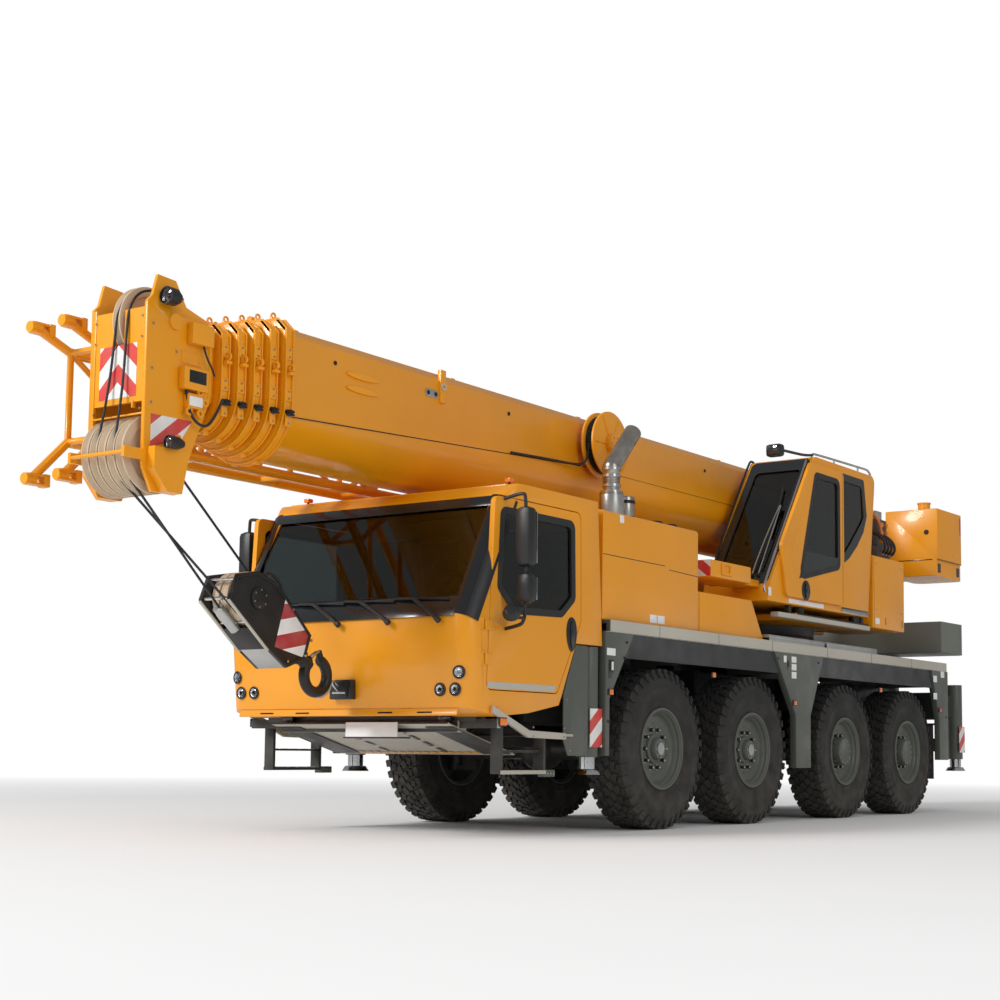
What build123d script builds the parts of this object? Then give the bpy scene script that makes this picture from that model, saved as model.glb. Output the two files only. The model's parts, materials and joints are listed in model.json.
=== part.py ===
"""A four-axle all-terrain mobile crane in travel order, in millimetres.

+X points forward, +Y to the left and +Z up. The ground is Z = 0 and the origin lies
under the middle of the whole machine. Each sub-part is written to parts/NAME.step.
"""

import os

from build123d import *

# ---------------------------------------------------------------- running gear
AXLE_1_X = 1025
AXLE_GAPS = (1655, 2065, 1655)
TYRE_RADIUS = 685
TYRE_WIDTH = 385
RIM_RADIUS = 318
RIM_FLANGE_RADIUS = 352
WHEEL_CENTRE_Y = 1080
KINGPIN_Y = 970
KINGPIN_RADIUS = 46
SPINDLE_RADIUS = 85
AXLE_TUBE_RADIUS = 105
RUNNING_GAP = 0.4

# ---------------------------------------------------------------- carrier
HALF_WIDTH = 1270
FRAME_HALF_WIDTH = 430
FRAME_BOTTOM_Z = 900
FRAME_TOP_Z = 1450
FRAME_FRONT_X = 1900
FRAME_REAR_X = -5790
NOSE_HALF_WIDTH = 380
NOSE_FRONT_X = 2880
NOSE_REAR_X = 1700
NOSE_BOTTOM_Z = 690
NOSE_TOP_Z = 890
DECK_FRONT_X = 1885
DECK_REAR_X = -5525
DECK_TOP_Z = 1735
DECK_THICKNESS = 30
RAIL_DEPTH = 98
SKIRT_BOTTOM_Z = 1430
CARRIER_REAR_X = -6235

# ---------------------------------------------------------------- outriggers
OUTRIGGER_BOX_BOTTOM_Z = 1085
OUTRIGGER_BOX_TOP_Z = 1405
OUTRIGGER_WALL = 15
BEAM_WIDTH = 180
BEAM_HEIGHT = 260
BEAM_HALF_REACH = 1060
BOX_HALF_LENGTH = 1050
JACK_TUBE_RADIUS = 88
JACK_ROD_RADIUS = 66
JACK_TOP_Z = 1500
JACK_TUBE_BOTTOM_Z = 610
JACK_FOOT_Z = 470
JACK_FOOT_RADIUS = 190

# ---------------------------------------------------------------- driver's cab
CAB_HALF_WIDTH = 1240
CAB_WALL = 40
CAB_CORNER = 150
CAB_ROOF_Z = 2690
CAB_REAR_X = 2040
CAB_FLOOR_Z = 1510
DOOR_THICKNESS = 44
DOOR_GAP = 7
DOOR_HINGE_X = 3558
DOOR_FRONT_TOP_X = 3455
DOOR_FRONT_BOTTOM_X = 3540
DOOR_REAR_X = 2285
DOOR_TOP_Z = 2560
DOOR_BOTTOM_Z = 1105
GLASS = 8
WINDOW_CORNER = 60
GLAZING_GAP = 0.6

# ---------------------------------------------------------------- engine cover
COVER_HALF_WIDTH = 1215
COVER_FRONT_X = 1925
COVER_STEP_X = 335
COVER_REAR_X = -940
COVER_TOP_Z = 2650
COVER_LOW_TOP_Z = 2100
COVER_WALL = 25
COVER_EDGE = 45
COVER_SLOPE = 240
PANEL_GAP = 0.5

# ---------------------------------------------------------------- superstructure
SLEW_X = -2825
SLEW_RING_RADIUS = 760
SLEW_SEAM_Z = 1900
PLATFORM_Z = 2060
CHEEK_INNER_Y = 398
CHEEK_THICKNESS = 40
BOOM_PIVOT_X = -4575
BOOM_PIVOT_Z = 3150
PIVOT_PIN_RADIUS = 70
RAM_FOOT_X = -2925
RAM_FOOT_Z = 2220
RAM_EYE_X = 75
RAM_EYE_Z = 2490
RAM_BARREL_RADIUS = 140
RAM_ROD_RADIUS = 95
RAM_PIN_RADIUS = 50

# ---------------------------------------------------------------- crane cab
CRANE_CAB_INNER_Y = 475
CRANE_CAB_OUTER_Y = 1205
CRANE_CAB_WALL = 35
CRANE_CAB_FLOOR_Z = 2130
CRANE_CAB_ROOF_Z = 3700
CRANE_DOOR_THICKNESS = 36

# ---------------------------------------------------------------- boom
BOOM_REAR_X = -4925
BOOM_FRONT_X = 4875
BOOM_WIDTH = 740
BOOM_HEIGHT = 940
BOOM_TOP_Z = 3680
BOOM_PLATE = 11
BOOM_STEP = 32
BOOM_CORNER = 70
COLLAR_LENGTH = 85
COLLAR_PITCH = 125
COLLAR_RISE = 36
SECTION_COUNT = 5
SECTION_REAR_STEP = 60
SLIDE_FIT = 0.5
HEAD_FRONT_X = 6040
HEAD_HALF_WIDTH = 275
HEAD_PLATE = 25
# columns: centre x, centre z, radius
TOP_SHEAVE = (5800, 3500, 270)
LOW_SHEAVE = (5890, 2590, 265)
LOW_SHEAVE_COUNT = 5
SHEAVE_PITCH = 84
SHEAVE_HALF_WIDTH = 36
GROOVE_DEPTH = 34
KEEPER_RADIUS = 14
ROPE_RADIUS = 9

AXLE_XS = [AXLE_1_X - sum(AXLE_GAPS[:i]) for i in range(4)]
SIDES = (("left", 1), ("right", -1))


# ---------------------------------------------------------------- shape helpers
def block(x0, x1, y0, y1, z0, z1):
    """A box between two corners."""
    size = (abs(x1 - x0), abs(y1 - y0), abs(z1 - z0))
    return Pos((x0 + x1) / 2, (y0 + y1) / 2, (z0 + z1) / 2) * Box(*size)


def side_plate(outline, y0, y1, rounding=0):
    """A plate with an outline of (x, z) points, from y0 to y1."""
    points = [(x, y0, z) for x, z in outline]
    wire = FilletPolyline(*points, radius=rounding, close=True) if rounding else Polyline(*points, close=True)
    return extrude(make_face(wire), amount=abs(y1 - y0), dir=(0, 1 if y1 > y0 else -1, 0))


def cross_plate(outline, x0, x1, rounding=0):
    """A plate with an outline of (y, z) points, from x0 to x1."""
    points = [(x0, y, z) for y, z in outline]
    wire = FilletPolyline(*points, radius=rounding, close=True) if rounding else Polyline(*points, close=True)
    return extrude(make_face(wire), amount=abs(x1 - x0), dir=(1 if x1 > x0 else -1, 0, 0))


def floor_plate(outline, z0, z1, rounding=0):
    """A plate with an outline of (x, y) points, from z0 to z1."""
    points = [(x, y, z0) for x, y in outline]
    wire = FilletPolyline(*points, radius=rounding, close=True) if rounding else Polyline(*points, close=True)
    return extrude(make_face(wire), amount=abs(z1 - z0), dir=(0, 0, 1 if z1 > z0 else -1))


def rod(start, end, radius):
    """A round bar between two points."""
    start, end = Vector(*start), Vector(*end)
    plane = Plane(origin=start, z_dir=end - start)
    return plane * Cylinder(radius, (end - start).length, align=(Align.CENTER, Align.CENTER, Align.MIN))


def drawn_in(face, inset):
    """A flat outline drawn in by an inset, or let out by a negative one, with its corners kept."""
    return offset(face, -inset, kind=Kind.INTERSECTION) if inset else face


def save(name, *solids):
    """Writes one sub-part, made of one or more separate solids."""
    pieces = [piece for solid in solids for piece in solid.solids()]
    export_step(pieces[0] if len(pieces) == 1 else Compound(children=pieces), f"parts/{name}.step")


def pane_outline(outline):
    """A rounded pane for a window with an outline of (x, z) points, drawn in by the glazing gap."""
    corners = [(x, 0, z) for x, z in outline]
    return drawn_in(make_face(FilletPolyline(*corners, radius=WINDOW_CORNER, close=True)), GLAZING_GAP)


# ---------------------------------------------------------------- wheels and axles
def tyre(x, side):
    """A tyre with rounded shoulders and bulged side walls, as a closed ring on its rim."""
    half = TYRE_WIDTH / 2
    profile = [
        (RIM_RADIUS + RUNNING_GAP, -half + 45),
        (RIM_FLANGE_RADIUS + 18, -half + 30),
        (TYRE_RADIUS - 170, -half),
        (TYRE_RADIUS - 60, -half + 6),
        (TYRE_RADIUS, -half + 40),
        (TYRE_RADIUS, half - 40),
        (TYRE_RADIUS - 60, half - 6),
        (TYRE_RADIUS - 170, half),
        (RIM_FLANGE_RADIUS + 18, half - 30),
        (RIM_RADIUS + RUNNING_GAP, half - 45),
    ]
    face = make_face(Polyline(*[(r, y, 0) for r, y in profile], close=True))
    ring = revolve(face, axis=Axis.Y)
    return Pos(x, side * WHEEL_CENTRE_Y, TYRE_RADIUS) * ring


def rim(x, side, planetary):
    """A dished steel rim; the rear axles carry a broad flat hub cover, the front ones a small hub."""
    half = TYRE_WIDTH / 2
    dish = half - 105
    hub = 150 if planetary else 105
    hub_face = half - 18 if planetary else half - 30
    # columns: radius, distance outward from the wheel's middle
    profile = [
        (RIM_RADIUS, -half + 45),
        (RIM_FLANGE_RADIUS, -half + 24),
        (RIM_FLANGE_RADIUS, -half + 12),
        (RIM_RADIUS - 14, -half + 12),
        (RIM_RADIUS - 22, dish - 30),
        (170, dish - 30),
        (SPINDLE_RADIUS + RUNNING_GAP, dish - 30),
        (SPINDLE_RADIUS + RUNNING_GAP, dish + 4),
        (0, dish + 4),
        (0, hub_face),
        (hub, hub_face),
        (hub + 8, dish + 22),
        (215, dish),
        (RIM_RADIUS - 26, dish),
        (RIM_RADIUS - 14, half - 12),
        (RIM_FLANGE_RADIUS, half - 12),
        (RIM_FLANGE_RADIUS, half - 24),
        (RIM_RADIUS, half - 45),
    ]
    face = make_face(Polyline(*[(r, side * y, 0) for r, y in profile], close=True))
    disc = revolve(face, axis=Axis.Y)
    return Pos(x, side * WHEEL_CENTRE_Y, TYRE_RADIUS) * disc


def knuckle(x, side):
    """A steering knuckle: a kingpin bearing and the spindle that the wheel turns on."""
    z = TYRE_RADIUS
    spindle_end = WHEEL_CENTRE_Y + TYRE_WIDTH / 2 - 105 + 4 - RUNNING_GAP
    bearing = rod((x, side * KINGPIN_Y, z - 165), (x, side * KINGPIN_Y, z + 165), 72)
    pin_y = side * KINGPIN_Y
    bearing -= rod((x, pin_y, z - 165), (x, pin_y, z + 165), KINGPIN_RADIUS + RUNNING_GAP)
    spindle = rod((x, side * (KINGPIN_Y + 60), z), (x, side * spindle_end, z), SPINDLE_RADIUS)
    arm = block(x - 220, x, side * (KINGPIN_Y - 30), side * (KINGPIN_Y + 20), z - 140, z - 100)
    arm -= rod((x, side * KINGPIN_Y, z - 165), (x, side * KINGPIN_Y, z + 165), KINGPIN_RADIUS + 12)
    return bearing + spindle + arm


def axle(x):
    """A driven axle: tube, differential housing, forks round the kingpins, and suspension struts."""
    z = TYRE_RADIUS
    housing = rod((x, -850, z), (x, 850, z), AXLE_TUBE_RADIUS) + Pos(x, 0, z) * Sphere(205)
    for _, side in SIDES:
        y = side * KINGPIN_Y
        fork_root = side * 845
        for z0, z1 in ((z + 165 + RUNNING_GAP, z + 205), (z - 205, z - 165 - RUNNING_GAP)):
            housing += rod((x, y, z0), (x, y, z1), 70)
            housing += block(x - 55, x + 55, fork_root - side * 45, y, z0, z1)
        housing += block(x - 70, x + 70, fork_root - side * 65, fork_root - side * 5, z - 205, z + 205)
        housing += rod((x, y, z - 205), (x, y, z + 205), KINGPIN_RADIUS)
        housing += rod((x - 150, side * 505, z + 40), (x - 150, side * 505, FRAME_TOP_Z - 60), 48)
        housing += block(x - 195, x, side * 470, side * 545, z - 50, z + 60)
    return housing


def driveline():
    """Transfer case and the shafts between the axles, seen from below."""
    z = TYRE_RADIUS + 130
    case_x = (AXLE_XS[1] + AXLE_XS[2]) / 2
    shafts = block(case_x - 260, case_x + 260, -190, 190, z - 190, FRAME_BOTTOM_Z - RUNNING_GAP)
    for x in (AXLE_XS[1], AXLE_XS[2]):
        toward = 1 if x > case_x else -1
        shafts += rod((case_x + toward * 250, 0, z - 60), (x - toward * 190, 0, TYRE_RADIUS + 20), 48)
    for front, rear in ((0, 1), (2, 3)):
        shaft_z = TYRE_RADIUS + 20
        shafts += rod((AXLE_XS[front] - 190, 0, shaft_z), (AXLE_XS[rear] + 190, 0, shaft_z), 48)
    return shafts


# ---------------------------------------------------------------- carrier
OUTRIGGER_ROWS = (("front", 2140), ("rear", -5985))
BEAM_OFFSET = 95


def outrigger_box(x):
    """A transverse box with two side-by-side tunnels, open at their outer ends."""
    half_x = BEAM_OFFSET + BEAM_WIDTH / 2 + OUTRIGGER_WALL + 1
    box_heights = (OUTRIGGER_BOX_BOTTOM_Z, OUTRIGGER_BOX_TOP_Z)
    box = block(x - half_x, x + half_x, -BOX_HALF_LENGTH, BOX_HALF_LENGTH, *box_heights)
    for _, side in SIDES:
        bx = x - side * BEAM_OFFSET
        z_mid = (OUTRIGGER_BOX_BOTTOM_Z + OUTRIGGER_BOX_TOP_Z) / 2
        half_w = BEAM_WIDTH / 2 + RUNNING_GAP
        half_h = BEAM_HEIGHT / 2 + RUNNING_GAP
        tunnel = (bx - half_w, bx + half_w, -BOX_HALF_LENGTH, BOX_HALF_LENGTH)
        box -= block(*tunnel, z_mid - half_h, z_mid + half_h)
    return box


def outrigger_beam(x, side):
    """A hollow box beam with the jack's tube welded to its outer end."""
    bx = x - side * BEAM_OFFSET
    z_mid = (OUTRIGGER_BOX_BOTTOM_Z + OUTRIGGER_BOX_TOP_Z) / 2
    z0, z1 = z_mid - BEAM_HEIGHT / 2, z_mid + BEAM_HEIGHT / 2
    jack_y = side * (BEAM_HALF_REACH + JACK_TUBE_RADIUS)
    beam = block(bx - BEAM_WIDTH / 2, bx + BEAM_WIDTH / 2, -side * BEAM_HALF_REACH, jack_y, z0, z1)
    beam -= block(bx - BEAM_WIDTH / 2 + 12, bx + BEAM_WIDTH / 2 - 12,
                  -side * BEAM_HALF_REACH, side * (BEAM_HALF_REACH - 40), z0 + 14, z1 - 14)
    beam += rod((bx, jack_y, JACK_TUBE_BOTTOM_Z), (bx, jack_y, JACK_TOP_Z), JACK_TUBE_RADIUS)
    bore = JACK_ROD_RADIUS + RUNNING_GAP
    beam -= rod((bx, jack_y, JACK_TUBE_BOTTOM_Z), (bx, jack_y, JACK_TOP_Z - 30), bore)
    return beam


def outrigger_jack(x, side):
    """The jack's rod with its round foot plate."""
    bx = x - side * BEAM_OFFSET
    jack_y = side * (BEAM_HALF_REACH + JACK_TUBE_RADIUS)
    jack = rod((bx, jack_y, JACK_FOOT_Z + 30), (bx, jack_y, JACK_TOP_Z - 60), JACK_ROD_RADIUS)
    foot = Pos(bx, jack_y, JACK_FOOT_Z + 22) * Cone(JACK_FOOT_RADIUS * 0.62, 90, 44)
    return jack + foot


def carrier_frame():
    """The box-section main frame with the slew ring's pedestal and both outrigger boxes."""
    frame_plan = (FRAME_REAR_X, FRAME_FRONT_X, -FRAME_HALF_WIDTH, FRAME_HALF_WIDTH)
    main = block(*frame_plan, FRAME_BOTTOM_Z, FRAME_TOP_Z)
    main -= block(FRAME_REAR_X + 40, FRAME_FRONT_X - 40, -FRAME_HALF_WIDTH + 16, FRAME_HALF_WIDTH - 16,
                  FRAME_BOTTOM_Z + 16, FRAME_TOP_Z - 16)
    for x in AXLE_XS:
        for _, side in SIDES:
            y0, y1 = side * (FRAME_HALF_WIDTH - 1), side * 575
            main += block(x - 215, x - 85, y0, y1, FRAME_TOP_Z - 330, FRAME_TOP_Z)
            main -= rod((x - 150, side * 505, 700), (x - 150, side * 505, FRAME_TOP_Z - 50), 48 + RUNNING_GAP)
    nose = block(NOSE_REAR_X, NOSE_FRONT_X, -NOSE_HALF_WIDTH, NOSE_HALF_WIDTH, NOSE_BOTTOM_Z, NOSE_TOP_Z)
    nose -= block(FRAME_FRONT_X, NOSE_FRONT_X - 40, -NOSE_HALF_WIDTH + 14, NOSE_HALF_WIDTH - 14,
                  NOSE_BOTTOM_Z + 14, NOSE_TOP_Z - 14)
    splice = (NOSE_REAR_X, FRAME_FRONT_X, -NOSE_HALF_WIDTH, NOSE_HALF_WIDTH)
    nose += block(*splice, NOSE_TOP_Z - 20, FRAME_BOTTOM_Z + 5)
    pedestal = rod((SLEW_X, 0, FRAME_TOP_Z - 20), (SLEW_X, 0, SLEW_SEAM_Z), SLEW_RING_RADIUS)
    pedestal -= rod((SLEW_X, 0, FRAME_TOP_Z - 20), (SLEW_X, 0, SLEW_SEAM_Z), SLEW_RING_RADIUS - 120)
    frame = main + nose + pedestal
    for _, x in OUTRIGGER_ROWS:
        frame += outrigger_box(x)
    front_x = OUTRIGGER_ROWS[0][1]
    for _, side in SIDES:
        post = (front_x - 130, front_x - 20, side * 300, side * 420)
        frame += block(*post, OUTRIGGER_BOX_TOP_Z - 5, CAB_FLOOR_Z - 0.3)
        frame += block(2740, 2800, side * 240, side * 360, NOSE_TOP_Z - 5, 973.5)
    frame += block(front_x - 100, front_x + 100, -NOSE_HALF_WIDTH, NOSE_HALF_WIDTH, NOSE_TOP_Z - 5,
                   OUTRIGGER_BOX_BOTTOM_Z + 5)
    return frame


# columns: name, bottom rear x, bottom front x, bottom z, top rear x, top front x
STRUTS = (
    ("front", 1885, 1945, 620, 1505, 1945),
    ("middle", -1865, -1535, 515, -2170, -1075),
    ("rear", -5575, -5300, 600, -5575, -5075),
)


def deck_and_fenders():
    """The deck plate with its side rails, the fender bands over the wheels and the side struts."""
    low = DECK_TOP_Z - RAIL_DEPTH
    deck_plan = (DECK_REAR_X, DECK_FRONT_X, -HALF_WIDTH + 20, HALF_WIDTH - 20)
    deck = block(*deck_plan, DECK_TOP_Z - DECK_THICKNESS, DECK_TOP_Z)
    deck -= rod((SLEW_X, 0, DECK_TOP_Z - 60), (SLEW_X, 0, DECK_TOP_Z + 20), SLEW_RING_RADIUS + 10)
    for _, side in SIDES:
        outer = side * HALF_WIDTH
        deck += block(DECK_REAR_X, DECK_FRONT_X, outer - side * 32, outer, low, DECK_TOP_Z)
        skirt = (DECK_REAR_X, DECK_FRONT_X, outer - side * 46, outer - side * 30)
        deck += block(*skirt, SKIRT_BOTTOM_Z, DECK_TOP_Z - 20)
        for _, x0, x1, z0, x2, x3 in STRUTS:
            mid = (z0 + SKIRT_BOTTOM_Z) / 2 + 60
            outline = [(x0, z0), (x1, z0), (x1, mid), (x3, low), (x2, low), (x0, mid)]
            deck += side_plate(outline, outer - side * 75, outer - side * 8)
        rib_xs = [DECK_FRONT_X - 130, AXLE_XS[1] + 828, AXLE_XS[2] + 1030, AXLE_XS[3] + 828]
        rib_xs.append(DECK_REAR_X + 100)
        for x in rib_xs:
            rib = (x - 8, x + 8, side * (FRAME_HALF_WIDTH - 10), outer - side * 40)
            deck += block(*rib, FRAME_TOP_Z, DECK_TOP_Z - 20)
    return deck


SLAB_FRONT_X = -5555
SLAB_REAR_X = -6315
SLAB_BOTTOM_Z = 1870
SLAB_TOP_Z = 2240


def deck_slab():
    """The lower counterweight plate, carried on two bearers at the rear of the deck."""
    slab = block(SLAB_REAR_X, SLAB_FRONT_X, -1200, 1200, SLAB_BOTTOM_Z, SLAB_TOP_Z)
    slab = fillet(slab.edges().filter_by(Axis.Z).sort_by(Axis.X)[:2], 120)
    for x, seat_z in ((SLAB_FRONT_X - 130, FRAME_TOP_Z), (SLAB_REAR_X + 240, OUTRIGGER_BOX_TOP_Z)):
        slab += block(x - 60, x + 60, -420, 420, seat_z + 0.3, SLAB_BOTTOM_Z)
    return slab


def rear_beam():
    """The rear under-run beam with its lamp housings."""
    beam = block(CARRIER_REAR_X, CARRIER_REAR_X + 55, -1200, 1200, 700, 860)
    for _, side in SIDES:
        beam += block(CARRIER_REAR_X - 25, CARRIER_REAR_X, side * 760, side * 1180, 720, 840)
        hanger = (CARRIER_REAR_X, CARRIER_REAR_X + 60, side * 250, side * 330)
        beam += block(*hanger, 700, OUTRIGGER_BOX_BOTTOM_Z - 0.3)
    coupling = rod((CARRIER_REAR_X - 70, 0, 950), (CARRIER_REAR_X + 20, 0, 950), 70)
    coupling += block(CARRIER_REAR_X, CARRIER_REAR_X + 60, -110, 110, 800, OUTRIGGER_BOX_BOTTOM_Z - 0.3)
    coupling -= rod((CARRIER_REAR_X - 35, 0, 850), (CARRIER_REAR_X - 35, 0, 1050), 25)
    return beam + coupling


# ---------------------------------------------------------------- driver's cab
CAB_OUTLINE = (
    (3435, 905), (3700, 965), (3768, 1655), (3275, 2615), (3150, CAB_ROOF_Z),
    (CAB_REAR_X, CAB_ROOF_Z), (CAB_REAR_X - 75, CAB_FLOOR_Z), (2350, CAB_FLOOR_Z), (2545, 1095), (2590, 1010),
    (3000, 940),
)


def door_outline(inset=0.0):
    """The side door's outline, drawn in by an inset."""
    face = make_face(Polyline(*[(x, 0, z) for x, z in (
        (DOOR_FRONT_BOTTOM_X, DOOR_BOTTOM_Z), (DOOR_FRONT_TOP_X, DOOR_TOP_Z), (DOOR_REAR_X + 15, DOOR_TOP_Z),
        (DOOR_REAR_X, 1690), (DOOR_REAR_X + 335, DOOR_BOTTOM_Z),
    )], close=True))
    face = drawn_in(face, inset)
    return fillet(face.vertices(), 60)


def cab_body(inset):
    """The cab's outer form, drawn in by an inset."""
    half = CAB_HALF_WIDTH - inset
    face = make_face(Polyline(*[(x, -half, z) for x, z in CAB_OUTLINE], close=True))
    face = drawn_in(face, inset)
    form = extrude(face, amount=2 * half, dir=(0, 1, 0))
    front = form.edges().filter_by(lambda e: abs(e.center().Y) > half - 1 and e.center().X > 3450
                                   and abs(e.tangent_at(0.5).Z) > 0.8)
    return fillet(front, CAB_CORNER - inset)


# columns: half width, height, at the lower and upper edge of the windscreen
WINDSCREEN = ((1150, 1690), (1070, 2560))


def windscreen_prism(inset=0.0):
    (w0, z0), (w1, z1) = WINDSCREEN
    points = [(-w0, z0), (w0, z0), (w1, z1), (-w1, z1)]
    face = make_face(Polyline(*[(3000, y, z) for y, z in points], close=True))
    face = drawn_in(face, inset)
    face = fillet(face.vertices(), 70)
    return extrude(face, amount=900, dir=(1, 0, 0))


def cab_shell():
    """The cab's shell: windscreen, rear windows and both door openings cut, hinge ears at the doors."""
    shell = cab_body(0) - cab_body(CAB_WALL)
    shell -= windscreen_prism()
    opening = extrude(door_outline(-DOOR_GAP), amount=90, dir=(0, 1, 0))
    for _, side in SIDES:
        y = CAB_HALF_WIDTH - 60 if side > 0 else -CAB_HALF_WIDTH - 30
        shell -= Pos(0, y, 0) * opening
        for z in HINGE_HEIGHTS:
            shell -= block(DOOR_FRONT_TOP_X + 20, DOOR_HINGE_X + 16, side * (CAB_HALF_WIDTH - 17),
                           side * (CAB_HALF_WIDTH + 20), z - 41, z + 41)
            for z0, z1 in ((z - 52, z - 40 - RUNNING_GAP), (z + 40 + RUNNING_GAP, z + 52)):
                hinge_y = side * CAB_HALF_WIDTH
                ear = rod((DOOR_HINGE_X, hinge_y, z0), (DOOR_HINGE_X, hinge_y, z1), 13)
                ear += block(DOOR_HINGE_X, DOOR_HINGE_X + 50, side * (CAB_HALF_WIDTH - 13),
                             side * (CAB_HALF_WIDTH + 8), z0, z1)
                shell += ear
        shell -= block(CAB_REAR_X - 150, CAB_REAR_X + 150, side * 180, side * 980, 1950, 2450)
    return shell


HINGE_HEIGHTS = (1330, 1580)


def cab_glass():
    """The windscreen and the two rear windows, 1 mm clear of the shell."""
    windscreen = (cab_body(14) - cab_body(14 + GLASS)) & windscreen_prism(1)
    panes = [windscreen]
    for _, side in SIDES:
        layer = cab_body(16) - cab_body(16 + GLASS)
        opening = block(CAB_REAR_X - 150, CAB_REAR_X + 150, side * 180.6, side * 979.4, 1950.6, 2449.4)
        panes.append(layer & opening)
    return panes


WINDOW_OUTLINE = (
    (3405, 1870), (3372, 2470), (2400, 2470), (2385, 1860), (2560, 1720), (3200, 1700),
)


def side_door(side):
    """A door as thick as the side wall, with its window cut, a pane in it, and hinge barrels."""
    y = side * CAB_HALF_WIDTH
    inner = side * (CAB_HALF_WIDTH - DOOR_THICKNESS)
    panel = Pos(0, min(y, inner), 0) * extrude(door_outline(), amount=DOOR_THICKNESS, dir=(0, 1, 0))
    window = side_plate(WINDOW_OUTLINE, inner - side * 5, y + side * 5, 60)
    pane_face = pane_outline(WINDOW_OUTLINE)
    pane = Pos(0, min(y, inner) + DOOR_THICKNESS / 2, 0) * extrude(pane_face, amount=GLASS, dir=(0, 1, 0))
    door = panel - window
    for z in HINGE_HEIGHTS:
        barrel = rod((DOOR_HINGE_X, y, z - 40), (DOOR_HINGE_X, y, z + 40), 12)
        leaf = block(DOOR_FRONT_TOP_X + 30, DOOR_HINGE_X, y - side * 12, y + side * 6, z - 40, z + 40)
        door += barrel + leaf
    arm = rod((3330, y, 1560), (3330, y + side * 190, 1600), 15)
    arm += rod((3330, y + side * 190, 1600), (3330, y + side * 190, 2200), 15)
    arm += block(3255, 3385, y + side * 120, y + side * 265, 2010, 2480)
    arm += block(3255, 3385, y + side * 120, y + side * 265, 1730, 1960)
    return door + arm, pane


def cab_interior():
    """Dash, steering wheel, two seats and the floor inside the cab."""
    floor = block(2110, 3560, -1100, 1100, 1550.3, 1575)
    floor += block(3300, 3560, -1090, 1090, 1570, 1641)
    dash = side_plate([(3250, 1640), (3560, 1640), (3640, 1690), (3300, 1860), (3180, 1830)], -1080, 1080)
    column = rod((3260, 560, 1760), (3030, 560, 1985), 28)
    centre, normal = Vector(3010, 560, 2005), Vector(-230, 0, 225)
    wheel = Plane(origin=centre, z_dir=normal) * Torus(215, 15)
    wheel += Plane(origin=centre, z_dir=normal) * Box(26, 430, 14)
    inside = floor + dash + column + wheel
    seats = []
    for y in (560, -560):
        base = block(2440, 2860, y - 200, y + 200, 1574, 1800)
        cushion = block(2380, 2900, y - 250, y + 250, 1800, 1920)
        back = side_plate([(2400, 1915), (2520, 1915), (2400, 2460), (2290, 2460)], y - 240, y + 240)
        seats.append(base + cushion + back)
    return inside + seats[0] + seats[1]


def front_gear():
    """Skid plate, nose beam with lamps, hook bracket, steps under the doors and side rails."""
    beam = block(3330, 3440, -900, 900, 790, 880)
    for _, side in SIDES:
        beam += block(NOSE_FRONT_X + 0.3, 3340, side * 230, side * 310, 800, 870)
    skid = [(3420, 812), (3560, 850), (3560, 862), (3420, 824), (2700, 632), (2700, 620)]
    plate = side_plate(skid, -900, 900)
    gear = beam + plate
    for _, side in SIDES:
        jack_x = OUTRIGGER_ROWS[0][1] - side * BEAM_OFFSET
        gear += side_plate([(3495, 985), (3025, 810), (2525, 795), (2525, 745), (3035, 755), (3495, 935)],
                           side * (HALF_WIDTH - 28), side * HALF_WIDTH)
        gear += block(3380, 3420, side * 850, side * (HALF_WIDTH - 15), 820, 890)
        gear += block(2400, 2600, side * (NOSE_HALF_WIDTH + 0.3), side * (HALF_WIDTH - 20), 770, 790)
        for x, top in ((2720, 790), (3280, 880)):
            gear += block(x, x + 30, side * (HALF_WIDTH - 160), side * (HALF_WIDTH - 62), 480, top)
            gear += block(x, x + 30, side * (HALF_WIDTH - 160), side * (HALF_WIDTH - 20), top - 30, top)
        gear += block(2720, 3310, side * (HALF_WIDTH - 160), side * (HALF_WIDTH - 62), 480, 505)
        panel_x = jack_x + JACK_TUBE_RADIUS + 25
        panel_top = 1500 if side > 0 else 1440
        panel_front_x = 2505 - (panel_top - 1105) * (2505 - 2335) / (1500 - 1105)
        panel = [
            (panel_x, panel_top), (panel_front_x, panel_top), (2505, 1105), (2505, 745),
            (2440, 620), (panel_x, 620),
        ]
        gear += side_plate(panel, side * (HALF_WIDTH - 52), side * (HALF_WIDTH - 40))
    return gear


# ---------------------------------------------------------------- engine
def engine_cover():
    """The tall hood behind the cab, over the engine, open below."""
    half = COVER_HALF_WIDTH
    hood = block(COVER_STEP_X, COVER_FRONT_X, -half, half, DECK_TOP_Z + 0.3, COVER_TOP_Z)
    hood = fillet(hood.edges().filter_by(Axis.X).group_by(Axis.Z)[-1], COVER_EDGE)
    inner_half = half - COVER_WALL
    inside = (COVER_STEP_X + COVER_WALL, COVER_FRONT_X - COVER_WALL, -inner_half, inner_half)
    return hood - block(*inside, DECK_TOP_Z, COVER_TOP_Z - COVER_WALL)


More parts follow.
